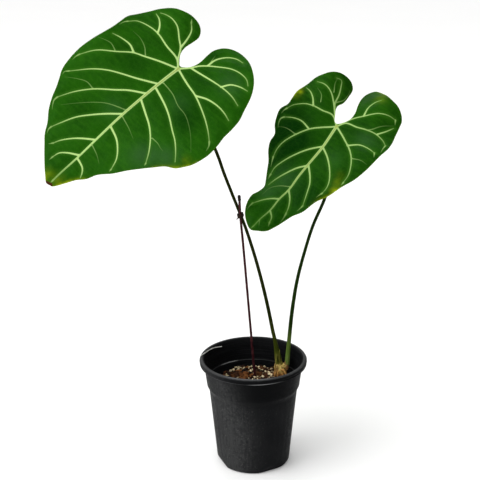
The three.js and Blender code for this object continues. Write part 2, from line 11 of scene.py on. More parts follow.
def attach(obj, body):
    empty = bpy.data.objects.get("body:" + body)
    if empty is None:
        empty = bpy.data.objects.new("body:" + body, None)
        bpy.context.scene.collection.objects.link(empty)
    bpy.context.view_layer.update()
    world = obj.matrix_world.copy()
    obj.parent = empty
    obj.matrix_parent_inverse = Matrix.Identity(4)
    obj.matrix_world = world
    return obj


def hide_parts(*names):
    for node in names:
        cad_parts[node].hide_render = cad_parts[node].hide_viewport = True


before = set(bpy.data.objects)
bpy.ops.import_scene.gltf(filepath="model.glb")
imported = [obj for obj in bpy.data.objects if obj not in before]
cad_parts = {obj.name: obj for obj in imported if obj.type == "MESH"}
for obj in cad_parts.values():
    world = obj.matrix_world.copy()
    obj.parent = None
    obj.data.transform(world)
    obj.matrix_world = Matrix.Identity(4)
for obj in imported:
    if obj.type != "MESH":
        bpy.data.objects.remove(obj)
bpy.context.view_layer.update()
MM = 0.001

# Pot, in the part's own values
POT_HEIGHT = 135.0
RIM_RADIUS = 65.0
BEAD_RADIUS = 2.9
BEAD_RISE = 3.2
COLLAR_RADIUS = 56.2
COLLAR_FLARE = 3.6
SHOULDER_TOP = POT_HEIGHT - 33.5
SHOULDER_HEIGHT = 8.0
SHOULDER_FOOT = SHOULDER_TOP - SHOULDER_HEIGHT
WALL_TOP_RADIUS = 53.3
FOOT_RADIUS = 44.4
FOOT_CORNER = 3.2
INNER_FOOT_RADIUS = 40.2
INNER_CORNER = 10.5
FLOOR = 2.2
WALL = 1.5
LEDGE_RADIUS = 55.75
LEDGE_LEVEL = POT_HEIGHT - 27.5
LEDGE_WIDTH = 0.9
INNER_NECK_RADIUS = 53.8
SOIL_LEVEL = POT_HEIGHT - 34.5
CROWN_X, CROWN_Y = 34.5, 24.0
BLADE_THICKNESS = 0.8


# Camera

def make_camera():
    data = bpy.data.cameras.new("camera")
    data.sensor_width = 36
    data.lens = 90
    data.shift_x = -0.0431
    data.shift_y = 0.0005
    data.clip_end = 50
    camera = bpy.data.objects.new("camera", data)
    camera.location = (0.009, -1.3263, 0.7412)
    camera.rotation_euler = (math.radians(71), 0, 0)
    bpy.context.scene.collection.objects.link(camera)
    bpy.context.scene.camera = camera


make_camera()


# Curves and meshes

def spline(points, closed=False, steps=16):
    """Dense points on the centripetal Catmull-Rom curve through the points."""
    p = np.array(points, float)
    n = len(p)
    share = (np.arange(steps) / steps)[:, None]
    dense = []
    for i in range(n if closed else n - 1):
        b, c = p[i], p[(i + 1) % n]
        a = p[i - 1] if closed or i > 0 else 2 * b - c
        d = p[(i + 2) % n] if closed or i + 2 < n else 2 * c - b
        t0, t1, t2 = (max(1e-4, np.linalg.norm(x)) ** 0.5 for x in (b - a, c - b, d - c))
        m1 = ((b - a) / t0 - (c - a) / (t0 + t1) + (c - b) / t1) * t1
        m2 = ((c - b) / t1 - (d - b) / (t1 + t2) + (d - c) / t2) * t1
        dense.append(
            b + m1 * share + (3 * (c - b) - 2 * m1 - m2) * share**2
            + (2 * (b - c) + m1 + m2) * share**3
        )
    dense.append(p[:1] if closed else p[-1:])
    return np.vstack(dense)


def spaced(dense, count):
    """That many spans of equal length along the dense points."""
    reach = np.concatenate([[0], np.cumsum(np.linalg.norm(np.diff(dense, axis=0), axis=1))])
    wanted = np.linspace(0, reach[-1], count + 1)
    return np.stack([np.interp(wanted, reach, dense[:, k]) for k in range(dense.shape[1])], 1)


def length_of(dense):
    return float(np.linalg.norm(np.diff(dense, axis=0), axis=1).sum())


def smoothstep(x, low, high):
    t = np.clip((np.asarray(x, float) - low) / (high - low), 0, 1)
    return t * t * (3 - 2 * t)


def add_piece(name, points, faces, material, nodes, values=None, sharp=55):
    """A piece from points in millimetres. values holds what its material reads at each point."""
    mesh = bpy.data.meshes.new(name)
    mesh.from_pydata((np.asarray(points, float) * MM).tolist(), [], faces)
    for key, data in (values or {}).items():
        data = np.asarray(data, np.float32)
        if data.ndim == 1:
            mesh.attributes.new(key, "FLOAT", "POINT").data.foreach_set("value", data)
        else:
            mesh.attributes.new(key, "FLOAT_VECTOR", "POINT").data.foreach_set("vector", data.ravel())
    mesh.shade_smooth()
    mesh.set_sharp_from_angle(angle=math.radians(sharp))
    mesh.materials.append(material)
    made = bpy.data.objects.new(name, mesh)
    bpy.context.scene.collection.objects.link(made)
    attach(made, "root")
    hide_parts(*nodes)
    return made


def add_parts(name, parts, material, nodes, sharp):
    """One piece from several sets of points, faces and values."""
    points, faces, values = [], [], {}
    start = 0
    for part_points, part_faces, part_values in parts:
        points.append(part_points)
        faces.extend(tuple(start + i for i in face) for face in part_faces)
        for key, data in part_values.items():
            values.setdefault(key, []).append(data)
        start += len(part_points)
    values = {key: np.concatenate(data) for key, data in values.items()}
    return add_piece(name, np.vstack(points), faces, material, nodes, values, sharp)


def weld(made):
    """Joins the points that lie in one place."""
    form = bmesh.new()
    form.from_mesh(made.data)
    bmesh.ops.remove_doubles(form, verts=form.verts, dist=1e-6)
    form.to_mesh(made.data)
    form.free()


def polar(radius, angle, z):
    """The place at that distance from the Z axis, in that direction."""
    return radius * math.cos(angle), radius * math.sin(angle), z


def ring_faces(rings, sides, closed=False):
    """Quads from each ring of points to the next."""
    faces = []
    for i in range(rings if closed else rings - 1):
        low, high = i * sides, (i + 1) % rings * sides
        for j in range(sides):
            k = (j + 1) % sides
            faces.append((low + j, low + k, high + k, high + j))
    return faces


def tube(route, sides, steps, half_widths, closed=False, ripple=None):
    """Points, faces, shares of the length and angles of a round skin along the route. half_widths
    gives the half-widths across X and across the other directions at a share of the length."""
    centres = spaced(spline(route, closed), steps)
    if closed:
        centres = centres[:-1]
    count = len(centres)
    ahead = np.roll(centres, -1, 0) - np.roll(centres, 1, 0)
    if not closed:
        ahead[0], ahead[-1] = centres[1] - centres[0], centres[-1] - centres[-2]
    ahead /= np.linalg.norm(ahead, axis=1)[:, None]
    side = np.cross(ahead[0], (0.3, 1, 0.2))
    angles = 2 * np.pi * np.arange(sides) / sides
    points, shares, turns = [], [], []
    for i in range(count):
        side = side - ahead[i] * side.dot(ahead[i])
        side /= np.linalg.norm(side)
        up = np.cross(ahead[i], side)
        t = i / (count if closed else count - 1)
        across, deep = half_widths(t)
        ring = np.cos(angles)[:, None] * side + np.sin(angles)[:, None] * up
        if ripple:
            ring = ring * np.array([ripple(t, a) for a in angles])[:, None]
        points.extend(centres[i] + ring * (across, deep, deep))
        shares.extend([t] * sides)
        turns.extend(angles)
    faces = ring_faces(count, sides, closed)
    if not closed:
        # A low point closes each end.
        for i, turn in ((0, -1), (count - 1, 1)):
            tip = len(points)
            bulge = 0.45 * half_widths(i / (count - 1))[1]
            points.append(centres[i] + ahead[i] * turn * bulge)
            shares.append(i / (count - 1))
            turns.append(0)
            for j in range(sides):
                a, b = i * sides + j, i * sides + (j + 1) % sides
                faces.append((b, a, tip) if turn < 0 else (a, b, tip))
    return np.array(points), faces, np.array(shares), np.array(turns)


def tube_part(route, sides, steps, half_widths, fade=1, **options):
    """A tube as one of several parts, with its share of the length, faded, at each point."""
    points, faces, shares, _ = tube(route, sides, steps, half_widths, **options)
    return points, faces, {"share": shares * fade}


def evenly(width, loss=0):
    """The half-widths of a round tube that loses a share of its width towards its end."""
    return lambda t: (width * (1 - loss * t),) * 2


def rough_skin(amount, along, shift=0):
    """The ripple of a tube that isn't quite round."""
    return lambda t, a: 1 + amount * noise.noise((t * along + shift, math.cos(a), math.sin(a)))


def twist(turn):
    """The ripple of a twisted cord of three strands."""
    return lambda t, a: 1 + 0.09 * math.cos(a * 3 + t * turn)


def ball_mesh(detail):
    form = bmesh.new()
    bmesh.ops.create_icosphere(form, subdivisions=detail, radius=1)
    points = np.array([v.co[:] for v in form.verts])
    faces = [tuple(v.index for v in f.verts) for f in form.faces]
    form.free()
    return points, faces


# Materials. The helpers add nodes to the tree that a linked input comes from.

def new_material(name, roughness, specular):
    """A new material and its node tree."""
    material = bpy.data.materials.new(name)
    material.use_nodes = True
    shader = material.node_tree.nodes["Principled BSDF"]
    shader.inputs["Roughness"].default_value = roughness
    shader.inputs["Specular IOR Level"].default_value = specular
    return material, material.node_tree


def source(tree, kind, **settings):
    """A new node of the tree, with nothing linked to it."""
    made = tree.nodes.new("ShaderNode" + kind)
    for key, value in settings.items():
        setattr(made, key, value)
    return made


def node(kind, inputs, **settings):
    """A new node, with its inputs linked or set."""
    sockets = [value for value in inputs.values() if isinstance(value, bpy.types.NodeSocket)]
    tree = sockets[0].id_data
    made = source(tree, kind, **settings)
    for key, value in inputs.items():
        if isinstance(value, bpy.types.NodeSocket):
            tree.links.new(value, made.inputs[key])
        else:
            made.inputs[key].default_value = value
    return made


def attribute(tree, name, output="Fac"):
    return source(tree, "Attribute", attribute_name=name).outputs[output]


def object_place(tree):
    return source(tree, "TexCoord").outputs["Object"]


def times(first, second, clamp=False):
    return node("Math", {0: first, 1: second}, operation="MULTIPLY", use_clamp=clamp).outputs[0]


def plus(first, second):
    return node("Math", {0: first, 1: second}, operation="ADD").outputs[0]


def blended(factor, first, second, blend_type="MIX"):
    """A colour between two colours, or their product where the type is MULTIPLY."""
    inputs = {0: factor, 6: first, 7: second}
    for index in (6, 7):
        if isinstance(inputs[index], tuple):
            inputs[index] = (*inputs[index], 1)
    return node("Mix", inputs, data_type="RGBA", blend_type=blend_type).outputs[2]


def layered(colour, *layers):
    """A colour under layers, each one a factor and a colour."""
    for factor, over in layers:
        colour = blended(factor, colour, over)
    return colour


def ranged(value, low, high, to_low=0.0, to_high=1.0, smooth=True):
    """A value moved from one range to another, and held in it."""
    inputs = {"Value": value, "From Min": low, "From Max": high, "To Min": to_low, "To Max": to_high}
    kind = "SMOOTHSTEP" if smooth else "LINEAR"
    return node("MapRange", inputs, interpolation_type=kind).outputs["Result"]


def scaled(place, scale):
    return node("VectorMath", {0: place, 1: scale}, operation="MULTIPLY").outputs[0]


def cloud(place, scale, detail=3.0, roughness=0.55):
    inputs = {"Vector": place, "Scale": scale, "Detail": detail, "Roughness": roughness}
    return node("TexNoise", inputs).outputs["Fac"]


def finished(material, colour, relief=None, rough=None):
    """The material with its shader linked. relief is a height, its depth in metres and its
    strength."""
    tree = material.node_tree
    shader = tree.nodes["Principled BSDF"]
    tree.links.new(colour, shader.inputs["Base Color"])
    if rough is not None:
        tree.links.new(rough, shader.inputs["Roughness"])
    if relief is not None:
        height, depth, strength = relief
        bump = node("Bump", {"Height": height, "Distance": depth, "Strength": strength})
        tree.links.new(bump.outputs["Normal"], shader.inputs["Normal"])
    return material


# Leaf blades. Each is drawn on its own plane, in millimetres from the joint: u runs along the
# midrib to the tip and v to the right of it, as seen from the tip.

LEFT_LEAF = {
    "joint": (-85.3, 36, 479.6),
    "tip": (-221.7, -59, 370.7),
    "facing": (-0.006, -0.75, 0.661),
    "arch": 0.00055,
    "fold": 0.1,
    "droop": 0.0013,
    "vein_width": 0.96,
    "vein_glow": 1.0,
    "vein_fade": 0.0,
    "fresh": 0.11,
    "wave": {"height": 2.5, "count": 7, "phase": 0.6, "centre": 70, "radius": 105},
    "outline": [
        (-4, -1), (-7, 4), (-14, 9), (-24, 11), (-37, 10), (-47, 10), (-58, 15), (-64, 23),
        (-66, 35), (-62, 52), (-54, 66), (-44, 78), (-33, 86), (-24, 90), (-11, 94), (1, 98),
        (16, 100), (29, 101), (43, 104), (59, 105), (77, 100), (86, 94), (93, 88), (99, 78),
        (109, 69), (122, 58), (130, 51), (143, 40), (155, 27), (166, 21), (175, 13), (187, 6),
        (198, -1), (199, -4), (200, -8), (195, -15), (183, -29), (170, -43), (160, -53),
        (149, -60), (138, -69), (126, -76), (113, -82), (103, -88), (92, -95), (78, -99),
        (61, -100), (43, -97), (29, -94), (15, -92), (3, -92), (-9, -92), (-19, -87), (-32, -79),
        (-42, -72), (-53, -59), (-57, -49), (-60, -37), (-59, -25), (-55, -18), (-47, -13),
        (-37, -13), (-25, -14), (-16, -12), (-8, -6),
    ],
    "midrib": [
        (0, 0), (36, -2), (59, -3), (89, -4), (132, -4), (156, -4), (181, -5), (193, -5),
    ],
    "veins": [
        [(0, 0), (-8, -8), (-21, -17), (-28, -26), (-38, -39),
         (-41, -51), (-40, -61), (-38, -67)],
        [(-21, -17), (-36, -20), (-46, -24), (-53, -31)],
        [(0, 0), (-8, -10), (-11, -29), (-16, -49), (-16, -64), (-12, -79), (-4, -86)],
        [(-16, -49), (-24, -54), (-31, -62), (-34, -70)],
        [(0, 0), (8, -20), (16, -38), (22, -51), (35, -65), (50, -83), (66, -94)],
        [(21, -51), (17, -61), (18, -74), (21, -85)],
        [(30, -2), (42, -24), (50, -40), (59, -56), (70, -70), (89, -87)],
        [(48, -3), (59, -20), (69, -31), (85, -49), (102, -62), (121, -72)],
        [(84, -4), (97, -18), (109, -29), (123, -40), (139, -48), (150, -53)],
        [(127, -4), (135, -15), (143, -24), (154, -33), (162, -37)],
        [(152, -4), (160, -17), (166, -23), (174, -25)],
        [(0, 0), (-11, 9), (-19, 14), (-26, 21), (-33, 31),
         (-40, 44), (-42, 57), (-40, 70), (-35, 77)],
        [(-26, 21), (-40, 22), (-51, 29), (-56, 38), (-56, 49)],
        [(-11, 9), (-13, 32), (-14, 52), (-14, 64), (-13, 74), (-10, 85)],
        [(-14, 55), (-23, 61), (-28, 71), (-30, 81)],
        [(0, 0), (8, 23), (13, 40), (20, 56), (28, 71), (36, 83), (45, 94)],
        [(13, 42), (8, 54), (6, 68), (7, 80), (10, 90)],
        [(35, -2), (44, 22), (51, 36), (63, 54), (70, 65), (80, 76), (88, 83)],
        [(57, -3), (67, 15), (75, 29), (85, 41), (98, 52), (111, 60)],
        [(104, -4), (111, 13), (120, 24), (129, 31), (141, 35)],
        [(156, -4), (160, 8), (164, 12), (170, 15)],
    ],
    "faint_veins": [
        [(14, -39), (8, -46), (3, -58), (2, -71)],
        [(78, -4), (88, -26), (97, -37), (112, -51), (125, -62)],
        [(-32, 20), (-43, 17)],
        [(25, 1), (29, 20), (36, 36), (39, 50), (46, 63), (56, 76), (69, 89)],
        [(87, -2), (93, 15), (99, 28)],
        [(134, -3), (139, 10), (145, 20)],
        [(84, 43), (85, 53), (87, 59), (88, 64)],
        [(86, -50), (85, -61), (90, -72), (98, -84)],
        [(35, -66), (32, -76), (34, -85), (37, -94)],
    ],
    # The last stretches of the veins, where they fade towards the margin
    "vein_ends": [
        [(121, -72), (126, -72), (130, -70), (135, -66)],
        [(150, -53), (154, -53), (158, -51)],
        [(162, -37), (166, -40)],
        [(174, -25), (179, -25)],
        [(45, 94), (50, 98), (56, 100)],
        [(111, 60), (114, 61)],
        [(141, 35), (144, 35)],
        [(89, -87), (93, -90), (97, -89)],
        [(66, -94), (70, -95), (76, -95)],
        [(193, -5), (197, -5)],
        [(-53, -31), (-57, -34)],
        [(-4, -86), (0, -88), (7, -89)],
    ],
    # (u, v, radius, strength) of yellowed places, of yellowed stretches of the margin, of dried
    # places, of places with painted shade in a deeper green and of places with a painted sheen, paler and
    # greyer
    "yellow": [(80, 92, 6, 0.12), (189, 0, 7, 0.2), (192, -14, 6, 0.25)],
    "yellow_margin": [
        (80, 94, 9, 0.55), (92, 86, 8, 0.5), (106, 74, 8, 0.3), (190, 4, 7, 1), (181, 10, 6, 0.7),
        (171, 16, 6, 0.5), (196, -14, 6, 0.6),
    ],
    "brown": [(198.5, -3.5, 3, 1), (200, -8.5, 2.6, 1)],
    "deep": [
        (30, 41, 22, 0.5), (-5, 30, 18, 0.35), (30, -40, 22, 0.4), (110, -34, 16, 0.25), (48, 59, 16, 0.5),
        (56, 11, 10, 0.3), (-40, 14, 9, 0.6),
    ],
    "painted_sheen": [
        (106, 51, 15, 0.9), (90, 72, 12, 0.8), (-22, 61, 13, 0.8), (32, 34, 12, 0.35), (88, -16, 12, 0.5),
    ],
}

RIGHT_LEAF = {
    "joint": (97.1, 32, 413),
    "tip": (-1.9, -40, 312),
    "facing": (-0.16, -0.723, 0.672),
    "arch": 0.0008,
    "fold": 0.14,
    "droop": 0.0016,
    "vein_width": 0.86,
    "vein_glow": 0.74,
    "vein_fade": 0.5,
    "fresh": 0.0,
    "wave": {"height": 3.5, "count": 9, "phase": 2.2, "centre": 50, "radius": 80},
    "outline": [
        (-3, -3), (-7, 2), (-16, 7), (-27, 6), (-38, 1), (-51, -3), (-62, -2), (-68, 4),
        (-65, 20), (-61, 35), (-59, 45), (-55, 52), (-49, 57), (-42, 59), (-29, 63), (-15, 69),
        (-5, 71), (7, 69), (18, 67), (34, 64), (50, 61), (65, 54), (80, 48), (92, 42), (108, 36),
        (118, 28), (128, 24), (140, 20), (151, 15), (156, 8), (159, -1), (149, -19), (142, -25),
        (134, -28), (124, -28), (116, -24), (108, -22), (101, -25), (92, -30), (82, -36),
        (72, -44), (62, -49), (51, -51), (41, -59), (32, -63), (23, -65), (12, -62), (2, -64),
        (-12, -67), (-26, -64), (-37, -60), (-44, -53), (-52, -45), (-58, -37), (-60, -30),
        (-59, -24), (-53, -18), (-41, -15), (-30, -14), (-23, -16), (-18, -15), (-11, -11),
        (-5, -7),
    ],
    "midrib": [
        (0, 0), (31, 4), (58, 4), (76, 4), (96, 5), (111, 3), (128, 3), (143, 0), (154, -1),
    ],
    "veins": [
        [(0, 0), (-10, -10), (-16, -15), (-23, -20), (-34, -23),
         (-45, -28), (-51, -32), (-49, -37)],
        [(-10, -10), (-22, -21), (-31, -32), (-34, -42), (-33, -54)],
        [(0, 0), (-9, -13), (-6, -25), (-5, -38), (-2, -48), (7, -56), (17, -59)],
        [(-5, -38), (-13, -45), (-19, -54), (-21, -62)],
        [(0, 0), (12, -13), (22, -23), (35, -30), (50, -36), (64, -37), (74, -35)],
        [(22, -23), (19, -36), (21, -44), (28, -55)],
        [(30, 4), (42, -7), (55, -15), (71, -22), (84, -25), (93, -24)],
        [(60, 4), (69, -4), (82, -11), (94, -16), (104, -19)],
        [(111, 3), (115, -5), (121, -13), (131, -22)],
        [(0, 0), (-12, 5), (-21, 12), (-27, 19), (-33, 25), (-39, 32), (-44, 43), (-45, 51)],
        [(-27, 19), (-41, 16), (-50, 19), (-55, 24)],
        [(0, 0), (-9, 6), (-11, 21), (-15, 33), (-17, 44), (-14, 56), (-8, 65)],
        [(-17, 45), (-27, 51), (-36, 55)],
        [(0, 0), (10, 20), (17, 32), (26, 42), (37, 49), (47, 53), (56, 54)],
        [(14, 27), (6, 38), (5, 48), (7, 61)],
        [(31, 4), (39, 17), (50, 29), (62, 38), (71, 41), (79, 41)],
        [(58, 4), (69, 15), (77, 21), (89, 26), (103, 31)],
        [(96, 5), (103, 12), (111, 17), (120, 20)],
        [(128, 3), (134, 10), (140, 12)],
    ],
    "faint_veins": [
        [(-24, -20), (-33, -16), (-44, -17), (-49, -19)],
        [(37, -31), (37, -40), (38, -46), (41, -53)],
        [(-15, 33), (-19, 37), (-29, 44), (-38, 53)],
        [(26, 42), (23, 53), (23, 62)],
        [(145, 1), (152, 6)],
        [(-13, -33), (-21, -38), (-26, -48)],
        [(-33, -29), (-42, -34), (-49, -36)],
        [(92, 4), (99, -8), (106, -15), (117, -18)],
    ],
    "vein_ends": [
        [(-45, 51), (-40, 54)],
        [(-8, 65), (-2, 66), (3, 67)],
        [(7, 61), (12, 64)],
        [(56, 54), (60, 54)],
        [(79, 41), (83, 40), (87, 39)],
        [(103, 31), (108, 30), (111, 29)],
        [(120, 20), (126, 21), (132, 21)],
        [(140, 12), (145, 14)],
        [(154, -1), (158, -2)],
        [(28, -55), (32, -57), (39, -55), (42, -53)],
        [(17, -59), (22, -60), (26, -60)],
        [(74, -35), (80, -32), (86, -29)],
        [(93, -24), (99, -23)],
        [(131, -22), (136, -23), (140, -23)],
    ],
    "yellow": [
        (70, 50.5, 4, 0.5), (61, 48.5, 5, 0.16), (52, 45, 6, 0.08),
        (-58, 22, 8, 0.14), (-12, -63, 3, 0.6), (-4, -63, 5, 0.15),
    ],
    "yellow_margin": [
        (-12, -65, 6, 1), (-3, -66, 5, 0.6), (69, 51, 7, 0.8), (-62, 16, 9, 0.4), (84, 46, 12, 0.4),
    ],
    "brown": [],
    # Painted shade: a deeper green where the blade falls into shade, and faintly over the whole blade
    "deep": [
        (13, -60, 14, 0.3), (38, -38, 26, 0.65), (58, -38, 20, 0.7), (43, -18, 15, 0.4), (17, -39, 18, 0.3),
        (81, -26, 14, 0.4), (99, 24, 18, 0.4), (133, 7, 22, 0.45), (93, 49, 18, 0.4), (83, 27, 16, 0.35),
        (5, 56, 20, 0.2), (-12, 18, 16, 0.25), (60, 0, 90, 0.2),
    ],
    # Painted sheen: paler, greyer places where the satin skin shines
    "painted_sheen": [(-3, 39, 12, 0.7), (88, -8, 15, 0.7), (112, -16, 10, 0.7), (38, 24, 12, 0.3)],
}

# Half-width, relief and brightness of each kind of rib. By its end a rib loses the taper's share of
# its width. Ribs no brighter than the faint tone fade sooner, and don't quilt the skin beside them.
RIBS = {
    "midrib": (2.4, 1.3, 1.0), "veins": (1.5, 0.85, 0.85),
    "faint_veins": (0.8, 0.22, 0.3), "vein_ends": (1.1, 0.3, 0.5),
}
FAINT_TONE = 0.5
RIB_TAPER = 0.55
RIB_LIFT = {"front": 0.55, "back": 1.3}
QUILT = {"height": 1.3, "reach": 11}
MARGIN = {"thinning": 0.22, "reach": 2.5}
ARCH_MIDDLE, FOLD_ROUND, DROOP_START = 40, 12, 45
# Steps between a blade's points along its edge, along its ribs and over the field between them
EDGE_STEP, RIB_STEP, FIELD_STEP = 1.5, 1.8, 1.75


def blade_height(leaf, u, v):
    """How far the blade's middle surface stands off its plane."""
    wave = leaf["wave"]
    arch = -leaf["arch"] * (u - ARCH_MIDDLE) ** 2
    fold = leaf["fold"] * (np.sqrt(v * v + FOLD_ROUND**2) - FOLD_ROUND)
    droop = -leaf["droop"] * np.maximum(0, np.abs(v) - DROOP_START) ** 2
    outward = np.minimum(np.hypot(u - wave["centre"], v) / wave["radius"], 1.4)
    turn = wave["phase"] - wave["count"] * np.arctan2(v, u - wave["centre"])
    return arch + fold + droop + wave["height"] * outward**3 * np.sin(turn)


def to_line(points, line):
    """Each point's distance to the line, and the share of the line's length there."""
    start, step = line[:-1], np.diff(line, axis=0)
    offset = points[:, None, :] - start[None]
    t = np.clip((offset * step).sum(2) / (step**2).sum(1), 0, 1)
    gaps = np.linalg.norm(offset - t[..., None] * step, axis=2)
    nearest = gaps.argmin(1)
    row = np.arange(len(points))
    return gaps[row, nearest], (nearest + t[row, nearest]) / len(start)


def is_inside(points, outline):
    inside = np.zeros(len(points), bool)
    for (u0, v0), (u1, v1) in zip(outline, np.roll(outline, -1, 0)):
        if v0 == v1:
            continue
        crosses = (v0 > points[:, 1]) != (v1 > points[:, 1])
        inside ^= crosses & (points[:, 0] < u0 + (points[:, 1] - v0) / (v1 - v0) * (u1 - u0))
    return inside


def blade_ribs(leaf):
    """Lines of the midrib and veins with their half-width, relief and brightness."""
    ribs = []
    for kind, (half, relief, tone) in RIBS.items():
        if kind in ("midrib", "veins"):
            half, tone = half * leaf["vein_width"], tone * leaf["vein_glow"]
        for route in [leaf[kind]] if kind == "midrib" else leaf[kind]:
            dense = spline(route)
            line = spaced(dense, max(3, round(length_of(dense) / RIB_STEP)))
            ribs.append((line, half, relief, tone))
    return ribs


def blade_plan(border, ribs):
    """Triangles over the blade's plane, with rows of points along its ribs and its border."""
    edge = border[:-1]
    # Least gaps between points on a rib's crest and beside it, and from the points to the border
    crest_gap, row_gap, rib_margin, field_margin = 0.4, 0.5, 0.7, 0.9
    cell = 0.9
    taken, plan, crests = {}, [], []

    def cell_of(at):
        return int(at[0] // cell), int(at[1] // cell)

    def is_free(at, clear):
        column, row = cell_of(at)
        for i in (column - 1, column, column + 1):
            for j in (row - 1, row, row + 1):
                for u, v in taken.get((i, j), ()):
                    if (u - at[0]) ** 2 + (v - at[1]) ** 2 < clear * clear:
                        return False
        return True

    def keep(at):
        taken.setdefault(cell_of(at), []).append(tuple(at))
        plan.append(Vector(at))
        return len(plan) - 1

    def fitting(row):
        return is_inside(row, edge) & (to_line(row, border)[0] > rib_margin)

    for at in edge:
        keep(at)
    for line, half, _, _ in ribs:
        ahead = np.gradient(line, axis=0)
        ahead /= np.linalg.norm(ahead, axis=1)[:, None]
        side = np.stack([-ahead[:, 1], ahead[:, 0]], 1)
        width = half * (1 - RIB_TAPER * np.linspace(0, 1, len(line)))[:, None]
        last = None
        for at, fits in zip(line, fitting(line)):
            here = keep(at) if fits and is_free(at, crest_gap) else None
            if here is not None and last is not None:
                crests.append((last, here))
            last = here
        for offset in (-0.5, 0.5, -1, 1, -1.6, 1.6):
            row = line + side * width * offset
            for at, fits in zip(row, fitting(row)):
                if fits and is_free(at, row_gap):
                    keep(at)
    low, high = edge.min(0), edge.max(0)
    field = np.array([
        (u, v + (i % 2) * FIELD_STEP / 2)
        for i, u in enumerate(np.arange(low[0], high[0], FIELD_STEP * 0.866))
        for v in np.arange(low[1], high[1], FIELD_STEP)
    ])
    field = field[is_inside(field, edge)]
    field = field[to_line(field, border)[0] > field_margin]
    for line, half, _, _ in ribs:
        gap, share = to_line(field, line)
        field = field[gap > half * (1 - RIB_TAPER * share) * 1.6 + 0.8]
    for at in field:
        keep(at)
    found = delaunay_2d_cdt(plan, crests, [list(range(len(edge)))], 1, 1e-5)
    return np.array([p[:] for p in found[0]]), [tuple(f) for f in found[2]]


def rib_marks(plan, ribs):
    """For each point of the plan, the ribs' lift and brightness there, its distance to them in
    half-widths and, to the midrib and veins, in millimetres."""
    nearest = np.full(len(plan), 1e3)
    reached = np.full(len(plan), 9.0)
    lift, tone = np.zeros(len(plan)), np.zeros(len(plan))
    for line, half, relief, brightness in ribs:
        gap, share = to_line(plan, line)
        taper = 1 - RIB_TAPER * share
        ratio = gap / (half * taper)
        lift = np.maximum(lift, relief * taper * (1 + np.cos(np.pi * np.minimum(1, ratio))) / 2)
        fade = 1 - 0.8 * share
        if brightness > FAINT_TONE:
            fade = 1 - 0.35 * share - 0.3 * smoothstep(share, 0.75, 1)
            nearest = np.minimum(nearest, gap)
        closer = ratio < reached
        reached = np.where(closer, ratio, reached)
        tone = np.where(closer, brightness * fade, tone)
    return lift, tone, reached, nearest


def blade_points(leaf, plan, front, back):
    """The plan's points at those heights, in the part's frame: the front skin's, then the back's."""
    joint, tip, facing = (np.array(leaf[key], float) for key in ("joint", "tip", "facing"))
    along = (tip - joint) / np.linalg.norm(tip - joint)
    facing = facing - facing.dot(along) * along
    facing /= np.linalg.norm(facing)
    across = np.cross(facing, along)
    flat = joint + plan[:, :1] * along + plan[:, 1:] * across
    return np.vstack([flat + front[:, None] * facing, flat + back[:, None] * facing])


def blade_faces(triangles, count):
    """The triangles of both skins, and quads that join the skins round their edge."""
    faces, open_edges = [], {}
    for a, b, c in triangles:
        faces += [(a, b, c), (a + count, c + count, b + count)]
        for start, end in ((a, b), (b, c), (c, a)):
            if (end, start) in open_edges:
                del open_edges[end, start]
            else:
                open_edges[start, end] = True
    return faces + [(b, a, a + count, b + count) for a, b in open_edges]


def blots(plan, rows):
    """How strongly each point of the plan is marked by round places with soft edges."""
    amount = np.zeros(len(plan))
    for u, v, radius, strength in rows:
        amount += strength * np.exp(-((plan[:, 0] - u) ** 2 + (plan[:, 1] - v) ** 2) / radius**2)
    return np.clip(amount, 0, 1)


def blade(name, leaf, node_name, material):
    """A blade's front and back skins, joined round its edge, with what its material reads."""
    dense = spline(leaf["outline"], closed=True)
    border = spaced(dense, round(length_of(dense) / EDGE_STEP))
    ribs = blade_ribs(leaf)
    plan, triangles = blade_plan(border, ribs)
    margin = to_line(plan, border)[0]
    lift, tone, reached, nearest = rib_marks(plan, ribs)
    midrib, half = ribs[0][:2]
    gap, share = to_line(plan, midrib)
    middle = gap / (half * (1 - RIB_TAPER * share))
    u, v = plan.T
    height = blade_height(leaf, u, v) - blade_height(leaf, 0.0, 0.0)
    height += QUILT["height"] * smoothstep(np.minimum(margin, nearest), 0, QUILT["reach"])
    thinning = MARGIN["thinning"] * (1 - smoothstep(margin, 0, MARGIN["reach"]))
    front = height + lift * RIB_LIFT["front"] - thinning
    back = height - BLADE_THICKNESS - lift * RIB_LIFT["back"] + thinning
    points = blade_points(leaf, plan, front, back)
    faces = blade_faces(triangles, len(plan))
    # The deeper green blots are painted shade, and the paler, greyer ones are a painted sheen.
    spots = {key: blots(plan, leaf[key]) for key in ("yellow", "yellow_margin", "brown", "deep", "painted_sheen")}
    spots["yellow"] = np.maximum(spots["yellow"], spots.pop("yellow_margin") * np.exp(-margin / 1.5))
    values = {
        "vein": np.minimum(reached, 4),
        "tone": tone * (1 - leaf["vein_fade"] * smoothstep(u, 60, 150)),
        "midrib": np.minimum(middle, 4),
        "near": np.minimum(nearest, 20),
        "margin": np.minimum(margin, 20),
        "joint_gap": np.minimum(np.hypot(u, v), 40),
        "fresh": np.full(len(plan), leaf["fresh"]),
        **spots,
    }
    values = {key: np.tile(data, 2) for key, data in values.items()}
    under = np.repeat([0.0, 1.0], len(plan))
    values["under"] = under
    values["place"] = np.column_stack([np.tile(u, 2), np.tile(v, 2), under * 40])
    return add_piece(name, points, faces, material, [node_name], values, sharp=60)


